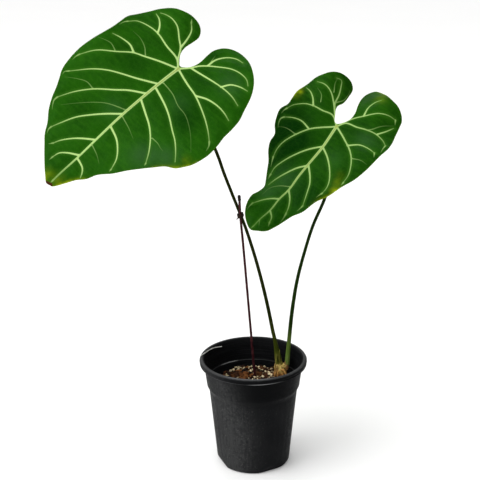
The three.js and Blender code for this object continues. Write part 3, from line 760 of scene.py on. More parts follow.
def leaf_material():
    material, tree = new_material("leaf_satin", 0.45, 0.018)
    place = attribute(tree, "place", "Vector")
    keys = (
        "vein", "tone", "midrib", "near", "margin", "joint_gap",
        "yellow", "brown", "fresh", "deep", "painted_sheen", "under",
    )
    value = {key: attribute(tree, key) for key in keys}
    patches = ranged(cloud(place, 0.028, 2.5), 0.36, 0.64)
    streaks = ranged(cloud(scaled(place, (0.22, 0.05, 1)), 1.0, 4), 0.42, 0.7, 0, 0.6)
    mottle = cloud(place, 0.16, 4)
    grain = cloud(place, 1.1, 3)
    # A faint net of the smallest veins
    bend = node("TexNoise", {"Vector": place, "Scale": 0.09, "Detail": 2}).outputs["Color"]
    bend = scaled(bend, (7, 7, 0))
    warped = node("VectorMath", {0: scaled(place, (1, 1, 0)), 1: bend}, operation="ADD").outputs[0]
    cells = node("TexVoronoi", {"Vector": warped, "Scale": 0.17}, feature="DISTANCE_TO_EDGE")
    net = ranged(cells.outputs["Distance"], 0, 0.09, 1, 0)
    lamina = layered(
        blended(patches, (0.0052, 0.043, 0.0004), (0.0082, 0.060, 0.0006)),
        (streaks, (0.014, 0.080, 0.0015)),
        (ranged(mottle, 0.45, 0.75, 0, 0.4), (0.016, 0.074, 0.003)),
        (ranged(grain, 0.5, 0.8, 0, 0.3), (0.0035, 0.026, 0.0008)),
        (value["fresh"], (0.020, 0.150, 0.003)),
        # painted shade, a deeper green
        (value["deep"], (0.0012, 0.024, 0.0002)),
        # painted sheen, paler and greyer
        (times(value["painted_sheen"], 0.75), (0.026, 0.084, 0.020)),
        (ranged(value["near"], 1.0, 4.5, 0.4, 0), (0.030, 0.115, 0.006)),
        (times(net, 0.06), (0.04, 0.15, 0.010)),
        (value["under"], blended(mottle, (0.075, 0.17, 0.03), (0.11, 0.23, 0.045))),
        (ranged(value["margin"], 0.3, 1.2, 0.35, 0), (0.085, 0.16, 0.008)),
        (times(value["yellow"], ranged(mottle, 0.3, 0.6, 0.6, 1.25), clamp=True), (0.25, 0.31, 0.003)),
    )
    # Veins, pale at their crest, with a tan line down the midrib
    crest = ranged(value["vein"], 1.1, 0.5)
    strength = times(crest, ranged(value["tone"], 0.0, 0.75, smooth=False), clamp=True)
    pale = blended(value["tone"], (0.20, 0.40, 0.09), (0.44, 0.61, 0.23))
    pale = blended(cloud(place, 0.5, 3), pale, (0.36, 0.54, 0.17))
    along = node("SeparateXYZ", {0: place}).outputs[0]
    colour = layered(
        lamina,
        (strength, pale),
        (times(ranged(value["midrib"], 0.42, 0.14), ranged(along, 50, 150, 0.8, 0)), (0.24, 0.26, 0.055)),
        (ranged(value["joint_gap"], 1.0, 3.2, 0.6, 0), (0.30, 0.35, 0.07)),
        (ranged(value["brown"], 0.3, 0.6), (0.05, 0.016, 0.006)),
    )
    rough = plus(ranged(mottle, 0.3, 0.7, 0.36, 0.5), times(value["under"], 0.2))
    relief = plus(plus(times(mottle, 0.9), times(grain, 0.25)), times(net, -0.1))
    return finished(material, colour, (relief, 0.0006, 0.55), rough)


# Pot

POT_SIDES = 240
# The section's points beyond this radius and over this level belong to the rim.
RIM_ZONE = {"radius": 60.5, "level": 127}
NOTCH = {"depth": 4.2, "slope": math.tan(0.5), "bearings": (-68, 30, 112, 210), "soft": 0.35}
FLUTES = {"pairs": 18, "depth": 0.16}
DRAIN = {"count": 6, "radius": 3.6, "ring": 30}
# Painted highlights, pale lines along edges that catch the light: radius, height, width, strength,
# and the middle and span of their bearings. They are the lip under the rim, the ledge inside and the rim's
# crest.
PAINTED_HIGHLIGHT_EDGES = (
    (64.5, 128.7, 0.5, 1.0, 283, 17), (64.5, 128.7, 0.5, 0.12, 230, 60),
    (54.9, 107.1, 0.5, 1.5, 124, 12), (54.9, 107.1, 0.5, 0.16, 90, 90),
    (62.6, 134.8, 1.2, 0.08, 180, 360), (62.6, 134.8, 1.0, 0.3, 266, 30),
)


def arc(centre, radius, low, high, count, squash=1.0):
    """Points on part of a round or oval edge, from one angle in degrees to another."""
    rows = []
    for degrees in np.linspace(low, high, count):
        angle = math.radians(degrees)
        rows.append((centre[0] + radius * math.cos(angle), centre[1] + radius * squash * math.sin(angle)))
    return rows


def run(start, end, count):
    """Points on a straight edge, without its end."""
    return [tuple(np.array(start) + (np.array(end) - start) * i / count) for i in range(count)]


def wall_radius(z):
    share = (z - FOOT_CORNER) / (SHOULDER_FOOT - FOOT_CORNER)
    return FOOT_RADIUS + (WALL_TOP_RADIUS - FOOT_RADIUS) * share


def pot_profile():
    """The pot's section from the middle of its foot, up its outside, over the rim and down inside."""
    outside = run((0, 0), (36, 0), 8) + [(36, 0), (38.5, 0), (40.6, 0.05)]
    outside += arc((FOOT_RADIUS - FOOT_CORNER, FOOT_CORNER), FOOT_CORNER, -84, -4, 9)
    outside += run((FOOT_RADIUS, FOOT_CORNER), (WALL_TOP_RADIUS, SHOULDER_FOOT), 56)
    span = COLLAR_RADIUS - WALL_TOP_RADIUS
    for share in np.linspace(0, 1, 15):
        swell = (1 - math.cos(share * math.pi / 2)) ** 0.8
        outside.append((WALL_TOP_RADIUS + span * swell, SHOULDER_FOOT + SHOULDER_HEIGHT * share))
    under_rim = POT_HEIGHT - 2 * BEAD_RISE - 0.3
    collar_top = COLLAR_RADIUS + COLLAR_FLARE
    outside += run(outside[-1], (collar_top, under_rim), 14)[1:] + [(collar_top, under_rim)]
    # The rolled rim ends below in a thin lip.
    lip = (
        (61.4, 0.1), (62.8, -0.2), (63.9, -0.2), (64.45, 0.05), (64.6, 0.45), (64.4, 0.85),
        (63.95, 1.05), (63.85, 1.2),
    )
    rim = [(radius, under_rim + rise) for radius, rise in lip]
    bead = (RIM_RADIUS - BEAD_RADIUS, POT_HEIGHT - BEAD_RISE)
    rim += arc(bead, BEAD_RADIUS, -38, 165, 26, BEAD_RISE / BEAD_RADIUS)
    inner = collar_top - WALL
    ledge_end = LEDGE_RADIUS - LEDGE_WIDTH
    inside = [(59.0, POT_HEIGHT - 4.6), (inner, POT_HEIGHT - 9)]
    inside += run((inner - 0.05, POT_HEIGHT - 10), (LEDGE_RADIUS, LEDGE_LEVEL), 10)
    inside += [
        (LEDGE_RADIUS, LEDGE_LEVEL), (LEDGE_RADIUS - 0.25, LEDGE_LEVEL - 0.1),
        (ledge_end + 0.15, LEDGE_LEVEL - 0.35), (ledge_end, LEDGE_LEVEL - 0.8),
    ]
    neck = (INNER_NECK_RADIUS, SHOULDER_TOP)
    inner_top = (WALL_TOP_RADIUS - WALL, SHOULDER_FOOT)
    corner = (wall_radius(INNER_CORNER) - WALL, INNER_CORNER)
    inside += run((ledge_end - 0.02, LEDGE_LEVEL - 1.6), neck, 4) + run(neck, inner_top, 5)
    inside += run(inner_top, corner, 16) + run(corner, (INNER_FOOT_RADIUS, FLOOR), 5)
    inside += run((INNER_FOOT_RADIUS, FLOOR), (0, FLOOR), 8) + [(0, FLOOR)]
    return outside + rim + inside, len(outside)


def bell(bearing, middle, span, power=2):
    """1 at the middle bearing, and near 0 beyond the span on either side, in degrees."""
    apart = abs((bearing - middle + 180) % 360 - 180)
    return math.exp(-((apart / span) ** power))


# Painted highlights along the edges listed above
def pot_painted_highlight(radius, z, bearing):
    return max(
        strength * math.exp(-((radius - r) ** 2 + (z - h) ** 2) / width**2) * bell(bearing, middle, span, 4)
        for r, h, width, strength, middle, span in PAINTED_HIGHLIGHT_EDGES
    )


def pot_painted_light(z, bearing, is_rim):
    """Painted light: paler on the wall's left front, where the light falls, and faintly at the back, with
    painted highlights on the rim's sides and along its crest.
    """
    if is_rim:
        sides = 0.35 * bell(bearing, 215, 22) + 0.3 * bell(bearing, 350, 20)
        return sides + 1.5 * smoothstep(z, 133.3, 134.6)
    sides = bell(bearing, 236, 30) + 0.25 * bell(bearing, 90, 70, 4)
    return sides * (1 - 0.2 * smoothstep(z, 66, 96))


# Painted shade: darker further down inside the pot, on the collar under the rim except on its lit left front,
# and on the rim below its crest
def pot_painted_shade(z, bearing, is_rim, is_outer):
    if not (is_rim or is_outer):
        return 0.6 - 0.45 * smoothstep(z, 116, 130)
    collar = smoothstep(z, 84, 108) * (1 - 0.85 * bell(bearing, 226, 32))
    return collar * (1 - smoothstep(z, 131.5, 134)) if is_rim else collar


def skin_radius(radius, z, angle, is_outer):
    """The radius with the foot's notches, the wall's faint flutes and a slight unevenness."""
    r = radius
    if is_outer and z < 12 and radius > 30:
        for bearing in NOTCH["bearings"]:
            turn = math.cos(angle - math.radians(bearing - 90))
            if turn <= 0.7:
                continue
            limit = (FOOT_RADIUS - NOTCH["depth"] + z * NOTCH["slope"]) / turn
            if r + 2 > limit:
                r = (r + limit - math.sqrt((r - limit) ** 2 + NOTCH["soft"])) / 2 + 0.02
    if is_outer and FOOT_CORNER + 4 < z < SHOULDER_FOOT - 1:
        fade = smoothstep(z, 8, 20) * (1 - smoothstep(z, 84, 92))
        r -= FLUTES["depth"] * fade * abs(math.sin(angle * FLUTES["pairs"])) ** 5
    if radius > 35:
        r += 0.05 * noise.noise(polar(2.2, angle, z * 0.03))
    return r


def pot_piece(material):
    profile, outer_count = pot_profile()
    points, values = [], {key: [] for key in ("place", "painted_highlight", "painted_light", "shade", "inside")}
    for i, (radius, z) in enumerate(profile):
        is_outer = i < outer_count
        is_rim = radius > RIM_ZONE["radius"] and z > RIM_ZONE["level"]
        for j in range(POT_SIDES):
            angle = 2 * math.pi * j / POT_SIDES
            bearing = math.degrees(angle)
            around = noise.noise((math.cos(angle) * 1.6 + 0.5, math.sin(angle) * 1.6 - 1.3, z * 0.03))
            # Painted light on the lit side and the rim, painted highlights along the lip, ledge and crest,
            # and painted shade under the rim and inside
            painted_light = pot_painted_light(z, bearing, is_rim) * (1 + 0.4 * around)
            values["painted_highlight"].append(pot_painted_highlight(radius, z, bearing) * min(1, max(0.4, 0.8 + around)))
            values["painted_light"].append(painted_light if is_outer or is_rim else 0)
            values["shade"].append(pot_painted_shade(z, bearing, is_rim, is_outer))
            values["inside"].append(0 if is_outer or is_rim else 1)
            values["place"].append((angle * 50, z, radius))
            points.append(polar(skin_radius(radius, z, angle, is_outer), angle, z))
    faces = ring_faces(len(profile), POT_SIDES)
    sharp = 38
    made = add_piece("pot_shell", points, faces, material, ["pot"], values, sharp)
    weld(made)
    cut_drains(made)
    made.data.shade_smooth()
    made.data.set_sharp_from_angle(angle=math.radians(sharp))
    return made


def cut_drains(made):
    """Cuts the drain holes through the floor."""
    cutters = []
    radius = DRAIN["radius"] * MM
    for k in range(DRAIN["count"]):
        angle = (k + 0.5) * 2 * math.pi / DRAIN["count"]
        x, y, z = polar(DRAIN["ring"], angle, FLOOR / 2)
        at = Matrix.Translation((x * MM, y * MM, z * MM))
        form = bmesh.new()
        bmesh.ops.create_cone(
            form, cap_ends=True, segments=32, radius1=radius, radius2=radius, depth=8 * MM, matrix=at
        )
        mesh = bpy.data.meshes.new("drain_cutter")
        form.to_mesh(mesh)
        form.free()
        cutter = bpy.data.objects.new("drain_cutter", mesh)
        bpy.context.scene.collection.objects.link(cutter)
        cutters.append(cutter)
        cut = made.modifiers.new("drain", "BOOLEAN")
        cut.object = cutter
        cut.operation = "DIFFERENCE"
        cut.solver = "EXACT"
    bpy.context.view_layer.update()
    shape = made.evaluated_get(bpy.context.evaluated_depsgraph_get())
    mesh = bpy.data.meshes.new_from_object(shape)
    made.modifiers.clear()
    made.data = mesh
    for cutter in cutters:
        bpy.data.objects.remove(cutter)


def pot_material():
    material, tree = new_material("pot_black_plastic", 0.5, 0.03)
    place = object_place(tree)
    rows = attribute(tree, "place", "Vector")
    painted_highlight, painted_light, shade, inside = (attribute(tree, key) for key in ("painted_highlight", "painted_light", "shade", "inside"))
    fine = cloud(place, 900, 3, 0.6)
    mottle = cloud(place, 260, 4, 0.6)
    wide = ranged(cloud(place, 30, 3), 0.3, 0.7)
    streaks = cloud(scaled(rows, (0.5, 0.035, 0)), 1.0, 3)
    # A film of painted light on the lit side, with painted highlights on the rim
    painted_light_film = times(painted_light, ranged(mottle, 0.3, 0.7, 0.6, 1.3), clamp=True)
    painted_light_film = times(painted_light_film, ranged(streaks, 0.35, 0.7, 0.8, 1.25), clamp=True)
    specks = times(ranged(cloud(place, 520, 2), 0.62, 0.72, 0, 0.5), plus(painted_light, 0.25), clamp=True)
    rings = ranged(cloud(scaled(rows, (0.02, 0.8, 0)), 1.0, 2), 0.45, 0.66, 0, 0.6)
    colour = layered(
        blended(wide, (0.0034, 0.0037, 0.0044), (0.0062, 0.0065, 0.0071)),
        # painted light on the lit side and the rim
        (painted_light_film, (0.030, 0.0305, 0.031)),
        (specks, (0.07, 0.069, 0.067)),
        # painted shade under the rim, on the collar and deep inside
        (shade, (0.0013, 0.0015, 0.0018)),
        (times(inside, rings, clamp=True), (0.011, 0.0115, 0.0125)),
        # painted highlights on the lip, the ledge and the rim's crest
        (painted_highlight, (0.30, 0.305, 0.31)),
    )
    relief = plus(times(fine, 0.4), times(mottle, 0.9))
    return finished(material, colour, (relief, 0.0005, 0.6), ranged(mottle, 0.3, 0.7, 0.38, 0.58))


# Growing mix

BED = {"reach": 53.2, "rings": 56, "sides": 160, "sink": 1.2}
BARK_TINTS = [
    (0.12, 0.040, 0.012), (0.05, 0.018, 0.007), (0.16, 0.060, 0.016), (0.02, 0.008, 0.005),
    (0.07, 0.026, 0.009), (0.03, 0.012, 0.006), (0.22, 0.100, 0.034), (0.012, 0.006, 0.004),
]
RUSTY_TINTS = [(0.14, 0.048, 0.011), (0.18, 0.066, 0.016), (0.10, 0.032, 0.008)]
PERLITE_TINT = (0.80, 0.67, 0.42)
# Large chips of bark, then small ones, lie in the bed. patch_growth is for the patch with no perlite.
BARK = (
    {
        "name": "bark_chips", "count": 250, "reach": 50.5, "gap": 4.4, "patch_growth": 1.15,
        "sizes": ((2.2, 4.6), (1.5, 2.6), (0.7, 1.3)), "rise": (-0.9, 0.9), "shade": (0.4, 1.4),
        "detail": 3, "box": 0.55, "rough": 0.5, "sharp": 48,
    },
    {
        "name": "bark_crumbs", "count": 520, "reach": 52, "gap": 2.0, "patch_growth": 1,
        "sizes": ((0.8, 2.1), (0.6, 1.3), (0.5, 0.9)), "rise": (-0.6, 0.9), "shade": (0.5, 1.2),
        "detail": 2, "box": 0.6, "rough": 0.55, "sharp": 60,
    },
)
MIX_SEED, ROOT_SEED = 11, 5
STAKE_FOOT = (1.6, 20)
# How far the grains keep from the crown and from the stake
CROWN_CLEAR, STAKE_CLEAR = 9.5, 2.2


def mix_level(x, y):
    """The surface sinks towards the wall, and most at the left."""
    low_side = smoothstep(-x, 20, 46)
    low_edge = smoothstep(math.hypot(x, y), 38, 52)
    low_front = smoothstep(-y, -24, -8)
    return SOIL_LEVEL - 3.2 * low_side - 1.3 * low_edge - 2.0 * low_front


def mix_bed(material):
    """The dark bed under the loose grains, closed below as the pot's inside is."""
    sides = BED["sides"]
    clear = 0.35
    lower = (
        (WALL_TOP_RADIUS - WALL - clear, SHOULDER_FOOT - 0.4),
        (wall_radius(INNER_CORNER) - WALL - clear, INNER_CORNER), (INNER_FOOT_RADIUS - 0.3, FLOOR + 0.3),
    )
    angles = [2 * math.pi * j / sides for j in range(sides)]
    points = [(0, 0, SOIL_LEVEL - 1)]
    for i in range(1, BED["rings"] + 1):
        radius = BED["reach"] * i / BED["rings"]
        for angle in angles:
            x, y, _ = polar(radius, angle, 0)
            rise = 1.5 * noise.noise((x * 0.16, y * 0.16, 3)) + 0.8 * noise.noise((x * 0.5, y * 0.5, 9))
            rise *= 1 - smoothstep(radius, 50, 53)
            points.append((x, y, mix_level(x, y) - BED["sink"] + rise))
    points += [polar(radius, angle, z) for radius, z in lower for angle in angles]
    points.append((0, 0, FLOOR + 0.3))
    rings = BED["rings"] + len(lower)
    last, base = len(points) - 1, 1 + (rings - 1) * sides
    faces = []
    for j in range(sides):
        k = (j + 1) % sides
        faces += [(0, 1 + j, 1 + k), (last, base + k, base + j)]
    faces += [(1 + a, 1 + d, 1 + c, 1 + b) for a, b, c, d in ring_faces(rings, sides)]
    return add_piece("mix_bed", points, faces, material, ["growing_mix"])


def lumps(centres, sizes, tints, draw, detail, box, rough):
    """Rough grains. box squares them up, from 1 for round to near 0 for a block."""
    ball, ball_faces = ball_mesh(detail)
    lean = 0.5 if box < 0.8 else 3
    parts = []
    for centre, size, tint in zip(centres, sizes, tints):
        seed = Vector([draw.uniform(0, 90) for _ in range(3)])
        swell = np.array([
            1 + rough * noise.noise(Vector(p) * 1.3 + seed)
            + 0.5 * rough * noise.noise(Vector(p) * 3.1 + seed)
            for p in ball
        ])
        shape = np.sign(ball) * np.abs(ball) ** box * swell[:, None] * size
        turn = Matrix.Rotation(draw.uniform(0, 6.3), 3, "Z")
        for axis in "XY":
            turn = turn @ Matrix.Rotation(draw.uniform(-lean, lean), 3, axis)
        parts.append((shape @ np.array(turn).T + centre, ball_faces, {"tint": np.tile(tint, (len(ball), 1))}))
    return parts


def scatter(draw, count, reach, gap):
    """Places on the round surface of the mix, each at least a gap from the others."""
    kept = []
    for _ in range(count * 12):
        radius, angle = reach * math.sqrt(draw.random()), draw.uniform(0, 2 * math.pi)
        x, y = radius * math.cos(angle), radius * math.sin(angle)
        if math.hypot((x - CROWN_X) / 1.1, y - CROWN_Y) < CROWN_CLEAR:
            continue
        if math.hypot(x - STAKE_FOOT[0], y - STAKE_FOOT[1]) < STAKE_CLEAR:
            continue
        if all((x - a) ** 2 + (y - b) ** 2 > gap * gap for a, b in kept):
            kept.append((x, y))
        if len(kept) == count:
            break
    return kept


def is_barky(x, y):
    """A patch in front of the middle, where chips of bark hide the perlite."""
    return math.hypot((x + 15) / 14, (y - 22) / 8) < 1 or math.hypot((x - 6) / 6, (y - 26) / 8) < 1


def bark_grains(kind, draw, material):
    spots = scatter(draw, kind["count"], kind["reach"], kind["gap"])
    sizes = [
        np.array([draw.uniform(*span) for span in kind["sizes"]])
        * (kind["patch_growth"] if is_barky(x, y) else 1) for x, y in spots
    ]
    centres = [(x, y, mix_level(x, y) + draw.uniform(*kind["rise"])) for x, y in spots]
    tints = [
        np.array(draw.choice(RUSTY_TINTS if is_barky(x, y) else BARK_TINTS)) * draw.uniform(*kind["shade"])
        for x, y in spots
    ]
    parts = lumps(centres, sizes, tints, draw, kind["detail"], kind["box"], kind["rough"])
    add_parts(kind["name"], parts, material, ["growing_mix"], kind["sharp"])


def perlite_grains(draw, material):
    spots = [at for at in scatter(draw, 330, 50, 2.6) if not is_barky(*at)]
    centres, sizes, tints = [], [], []
    for x, y in spots:
        size = draw.choice((0.9, 1.2, 1.5, 1.8, 2.0)) * draw.uniform(0.85, 1.1)
        centres.append((x, y, mix_level(x, y) + size * 0.3 + draw.uniform(-0.9, 0.5)))
        sizes.append((size, size * draw.uniform(0.72, 1), size * draw.uniform(0.65, 0.9)))
        tints.append(np.array(PERLITE_TINT) * draw.uniform(0.55, 1.1) + draw.uniform(-0.03, 0.03))
    parts = lumps(centres, sizes, tints, draw, detail=3, box=0.9, rough=0.5)
    add_parts("perlite_grains", parts, material, ["growing_mix"], sharp=60)


def bed_material():
    material, tree = new_material("mix_bed_dark", 0.95, 0.1)
    place = object_place(tree)
    colour = blended(cloud(place, 420, 5), (0.004, 0.0028, 0.002), (0.035, 0.015, 0.007))
    return finished(material, colour, (cloud(place, 600, 5), 0.0012, 1))


def bark_material():
    material, tree = new_material("bark_fibrous", 0.85, 0.15)
    tint = attribute(tree, "tint", "Color")
    fibres = cloud(scaled(object_place(tree), (260, 1500, 900)), 1.0, 5, 0.65)
    dark = blended(1.0, tint, (0.3, 0.26, 0.24), "MULTIPLY")
    return finished(material, blended(ranged(fibres, 0.38, 0.6), dark, tint), (fibres, 0.0006, 0.9))


def perlite_material():
    material, tree = new_material("perlite_porous", 0.9, 0.2)
    place = object_place(tree)
    pores = node("TexVoronoi", {"Vector": place, "Scale": 1300}).outputs["Distance"]
    stain = cloud(place, 240, 4)
    colour = layered(
        attribute(tree, "tint", "Color"),
        (ranged(stain, 0.55, 0.75, 0, 0.7), (0.42, 0.27, 0.10)),
        (ranged(pores, 0.1, 0.4, 0.35, 0), (0.3, 0.22, 0.12)),
    )
    return finished(material, colour, (plus(pores, stain), 0.0006, 0.8))


# Petioles

LEFT_ROUTE = [
    (31.9, 24.6, 113), (30, 25, 125.3), (26.4, 25.4, 146.6), (23.7, 25.7, 158.9), (18.7, 26.1, 185.1),
    (11.6, 26.5, 217.5), (2.8, 26.9, 252.1), (-9.5, 27.2, 292.4), (-25.3, 28.3, 334.2),
    (-34.3, 29.4, 358.3), (-40.7, 30.7, 377.4), (-55.2, 33, 413.5), (-69, 38, 445.4), (-79.8, 43, 468),
    (-84, 42, 476), (-85.3, 37.2, 478.6),
]
RIGHT_ROUTE = [
    (41.2, 24.2, 113), (41.9, 24.3, 121), (44.6, 25, 156.5), (47.3, 25.7, 185.3), (52.9, 26.7, 223.9),
    (62, 27.9, 261.9), (71.2, 28.8, 293.1), (84.2, 30.4, 324.9), (93.2, 33, 354.5), (97.2, 37, 381.3),
    (98.4, 39, 401.2), (97.9, 37, 409.3), (97.3, 33.2, 411.9),
]
PETIOLE_LENGTH = 380


def petiole_width(foot, middle, joint, sheath):
    """Half-widths along a petiole that thins to its middle, swells at its joint and flares at its foot."""
    def at(t):
        thinning = foot + (middle - foot) * min(1, t / 0.5)
        swelling = (joint - middle) * smoothstep(t, 0.93, 0.98)
        flare = sheath * (1 - smoothstep(t, 0.015, 0.09))
        return thinning + swelling + flare, thinning + swelling + flare * 0.4
    return at


def petiole(name, route, width, node_name, material):
    def ripple(t, angle):
        channel = 0.06 * math.exp(-(((angle - 4.4) / 0.5) ** 2)) * min(1, t * 8)
        return 1 - channel + 0.025 * noise.noise(polar(1.5, angle, t * 60))
    points, faces, shares, turns = tube(route, 28, 220, width, ripple=ripple)
    values = {"share": shares, "place": np.column_stack([turns * 2, shares * PETIOLE_LENGTH, turns * 0])}
    return add_piece(name, points, faces, material, [node_name], values, sharp=70)


def petiole_material(name, foot, low, high):
    """Green along the stalk, from the foot's colour to the top's."""
    material, tree = new_material(name, 0.45, 0.02)
    share, edge = attribute(tree, "share"), attribute(tree, "edge")
    lines = cloud(scaled(attribute(tree, "place", "Vector"), (1.4, 0.05, 0)), 1.0, 4)
    flecks = cloud(object_place(tree), 500, 3)
    green = layered(foot, (ranged(share, 0.0, 0.055), low), (ranged(share, 0.05, 0.19), high))
    colour = layered(
        blended(1.0, green, (0.55, 0.6, 0.5), "MULTIPLY"),
        (ranged(lines, 0.4, 0.65), green),
        (ranged(flecks, 0.66, 0.76, 0, 0.4), (0.16, 0.2, 0.07)),
        (ranged(edge, 0.6, 1, 0, 0.8), (0.24, 0.22, 0.05)),
    )
    return finished(material, colour, (lines, 0.0003, 0.6), ranged(lines, 0.3, 0.7, 0.34, 0.5))


# Crown, with its dry scales and roots

def flap(at, bearing, height, width, lean, curl, thick=0.35, ragged=0.0, seed=0):
    """A thin curved scale that rises from a point, wraps round the crown and narrows to its tip."""
    rows, columns = 18, 9
    angle = math.radians(bearing)
    out = np.array((math.cos(angle), math.sin(angle), 0))
    side = np.array((-math.sin(angle), math.cos(angle), 0))
    points, shares = [], []
    for layer in (0, 1):
        for i in range(rows):
            t = i / (rows - 1)
            half = width * (1 - t**1.6) ** 0.8 * (0.8 + 0.35 * math.sin(min(1, t * 1.6) * math.pi))
            for j in range(columns):
                s = 2 * j / (columns - 1) - 1
                wobble = ragged * noise.noise((t * 5 + seed, s * 2, seed * 1.7))
                wrap = -0.5 * width * (s * s) * (1 - 0.4 * t)
                depth = lean * t**1.5 + wrap + wobble - layer * thick * (1 - 0.7 * t)
                rise = height * t * (1 - 0.12 * s * s) + wobble
                sideways = s * max(half, 0.15) + curl * t * t
                points.append(np.array(at) + side * sideways + out * depth + (0, 0, rise))
                shares.append(t)

    def front(i, j):
        return i * columns + j

    def back(i, j):
        return (rows + i) * columns + j

    faces = []
    for i in range(rows - 1):
        for j in range(columns - 1):
            faces.append((front(i, j), front(i, j + 1), front(i + 1, j + 1), front(i + 1, j)))
            faces.append((back(i, j), back(i + 1, j), back(i + 1, j + 1), back(i, j + 1)))
        for j, turn in ((0, 1), (columns - 1, -1)):
            faces.append((front(i, j), front(i + 1, j), back(i + 1, j), back(i, j))[::turn])
    top = rows - 1
    for j in range(columns - 1):
        faces.append((front(0, j + 1), front(0, j), back(0, j), back(0, j + 1)))
        faces.append((front(top, j), front(top, j + 1), back(top, j + 1), back(top, j)))
    margins = np.tile(np.abs(np.linspace(-1, 1, columns)), 2 * rows)
    return np.array(points), faces, np.array(shares), margins


def in_crown(offset):
    """A place from its distance to the crown's foot, which stands on the mix."""
    return np.array((CROWN_X, CROWN_Y, SOIL_LEVEL)) + offset


def crown_body(material):
    """The crown's flesh, as rough knobs that run into one another."""
    # Middle and half-sizes of each knob
    knobs = (
        ((-1.0, 0, 2.5), (7.0, 6.4, 12.5)), ((-3.6, 0.4, 9.0), (5.2, 4.8, 8.2)),
        ((4.8, 0.2, 12), (3.5, 3.6, 4.2)), ((-0.8, -2.4, 6.5), (4.4, 3.4, 6)),
    )
    ball, ball_faces = ball_mesh(5)
    parts = []
    for k, (offset, size) in enumerate(knobs):
        seed = Vector((k * 7, 0, 0))
        swell = np.array([
            1 + 0.09 * noise.noise(Vector(p) * 2.2 + seed) + 0.04 * noise.noise(Vector(p) * 6 + seed)
            for p in ball
        ])
        points = ball * swell[:, None] * size + in_crown(offset)
        parts.append((points, ball_faces, {"rise": np.clip((points[:, 2] - SOIL_LEVEL) / 20, 0, 1)}))
    add_parts("crown_body", parts, material, ["crown"], 80)


def crown_scales(material):
    """The dry scales on the crown."""
    # Foot, bearing, height, half-width, lean and curl of each scale
    scales = (
        ((-8.0, -3.0, 0), 205, 17, 2.8, 0.6, 0.8), ((-5.6, -5.2, 2), 240, 13, 2.4, 0.4, 0.8),
        ((6.9, -3.3, 8), 278, 9.4, 2.2, 0.5, 0.4), ((8.4, -1.0, 7.5), 325, 6, 1.3, 0.3, -0.3),
        ((7.6, 2.4, 6), 30, 9, 2.4, 0.5, -0.6), ((2.0, 5.8, 0), 95, 14, 3.0, 0.4, 0.6),
        ((-5.2, 4.8, 0), 130, 16, 3.2, 0.2, 0.7), ((-8.0, 1.0, 0), 175, 13, 2.8, 0.7, -0.7),
        ((4.2, -1.8, 12.5), 262, 7.5, 1.8, 0.6, 0.5),
    )
    parts = []
    for k, (offset, *shape) in enumerate(scales):
        points, faces, shares, _ = flap(in_crown(offset), *shape, ragged=1.0, seed=k + 1)
        parts.append((points, faces, {"share": shares, "age": np.full(len(points), (k * 0.37) % 1)}))
    add_parts("crown_scales", parts, material, ["crown"], 60)


def crown_roots(material):
    draw = random.Random(ROOT_SEED)
    count = 13
    parts = []
    for i in range(count):
        angle = 2 * math.pi * i / count + draw.uniform(-0.15, 0.15)
        reach = draw.uniform(7.4, 9.4) - 2.4 * max(0, math.cos(angle))
        start = draw.uniform(3.5, 8.5)
        places = ((3.5, start), (reach * 0.8, start - 0.2), (reach, start * 0.4), (reach + 0.4, -3.5))
        route = [
            in_crown((-0.6 + radius * math.cos(angle), radius * 0.92 * math.sin(angle), rise))
            for radius, rise in places
        ]
        width = evenly(draw.uniform(0.7, 1.15), 0.25)
        parts.append(tube_part(route, 12, 26, width, ripple=rough_skin(0.12, 9, i)))
    # One thick root arches out to the front right.
    route = [(34.4, 18.6, 109), (36.6, 16.4, 110.4), (38.9, 14.6, 108), (40.4, 13.8, 103.5), (40.8, 13.6, 98)]
    parts.append(tube_part(route, 14, 40, lambda t: (1.15 - 0.25 * t,) * 2, 0.6, ripple=rough_skin(0.1, 9)))
    add_parts("crown_roots", parts, material, ["crown"], 80)


def sheath_piece(material):
    """The green sheath at the foot of the left petiole, with its free point."""
    parts = []
    for at, bearing, height, width, lean, curl, seed in (
        ((30.6, 21.4, 111), 270, 19, 3.2, 1.6, -2.0, 21),
        ((34.6, 22.8, 111), 320, 24, 2.7, -1.8, -1.2, 22),
        ((27.4, 25.0, 111), 190, 17, 2.8, -1.4, 0.4, 23),
    ):
        points, faces, shares, margins = flap(
            at, bearing, height, width, lean, curl, thick=0.5, ragged=0.4, seed=seed
        )
        edge = np.maximum(margins, shares**3)
        parts.append((points, faces, {"share": shares * 0.1, "place": points, "edge": edge}))
    add_parts("petiole_left_sheath", parts, material, ["petiole_left"], 70)


def flesh_material():
    material, tree = new_material("crown_flesh", 0.6, 0.25)
    mottle = cloud(object_place(tree), 260, 4)
    colour = layered(
        (0.28, 0.12, 0.030),
        (ranged(attribute(tree, "rise"), 0.1, 0.45), (0.52, 0.39, 0.11)),
        (ranged(mottle, 0.45, 0.65), (0.17, 0.07, 0.025)),
    )
    return finished(material, colour, (mottle, 0.0012, 0.8))


def scale_material():
    material, tree = new_material("scale_papery", 0.7, 0.2)
    fibres = cloud(scaled(object_place(tree), (1400, 1400, 120)), 1.0, 4)
    colour = layered(
        (0.30, 0.18, 0.045),
        (attribute(tree, "age"), (0.20, 0.09, 0.03)),
        (ranged(attribute(tree, "share"), 0.3, 1), (0.38, 0.24, 0.09)),
        (ranged(fibres, 0.40, 0.58, 0.6, 0), (0.12, 0.05, 0.018)),
    )
    return finished(material, colour, (fibres, 0.0006, 0.9))


def root_material():
    material, tree = new_material("root_tan", 0.6, 0.25)
    bands = cloud(object_place(tree), 420, 4)
    colour = layered(
        (0.46, 0.24, 0.06),
        (ranged(attribute(tree, "share"), 0.2, 0.9), (0.30, 0.13, 0.04)),
        (ranged(bands, 0.5, 0.7, 0, 0.8), (0.14, 0.055, 0.02)),
    )
    return finished(material, colour, (bands, 0.0006, 0.8))


# Stake, cap, tie and strip

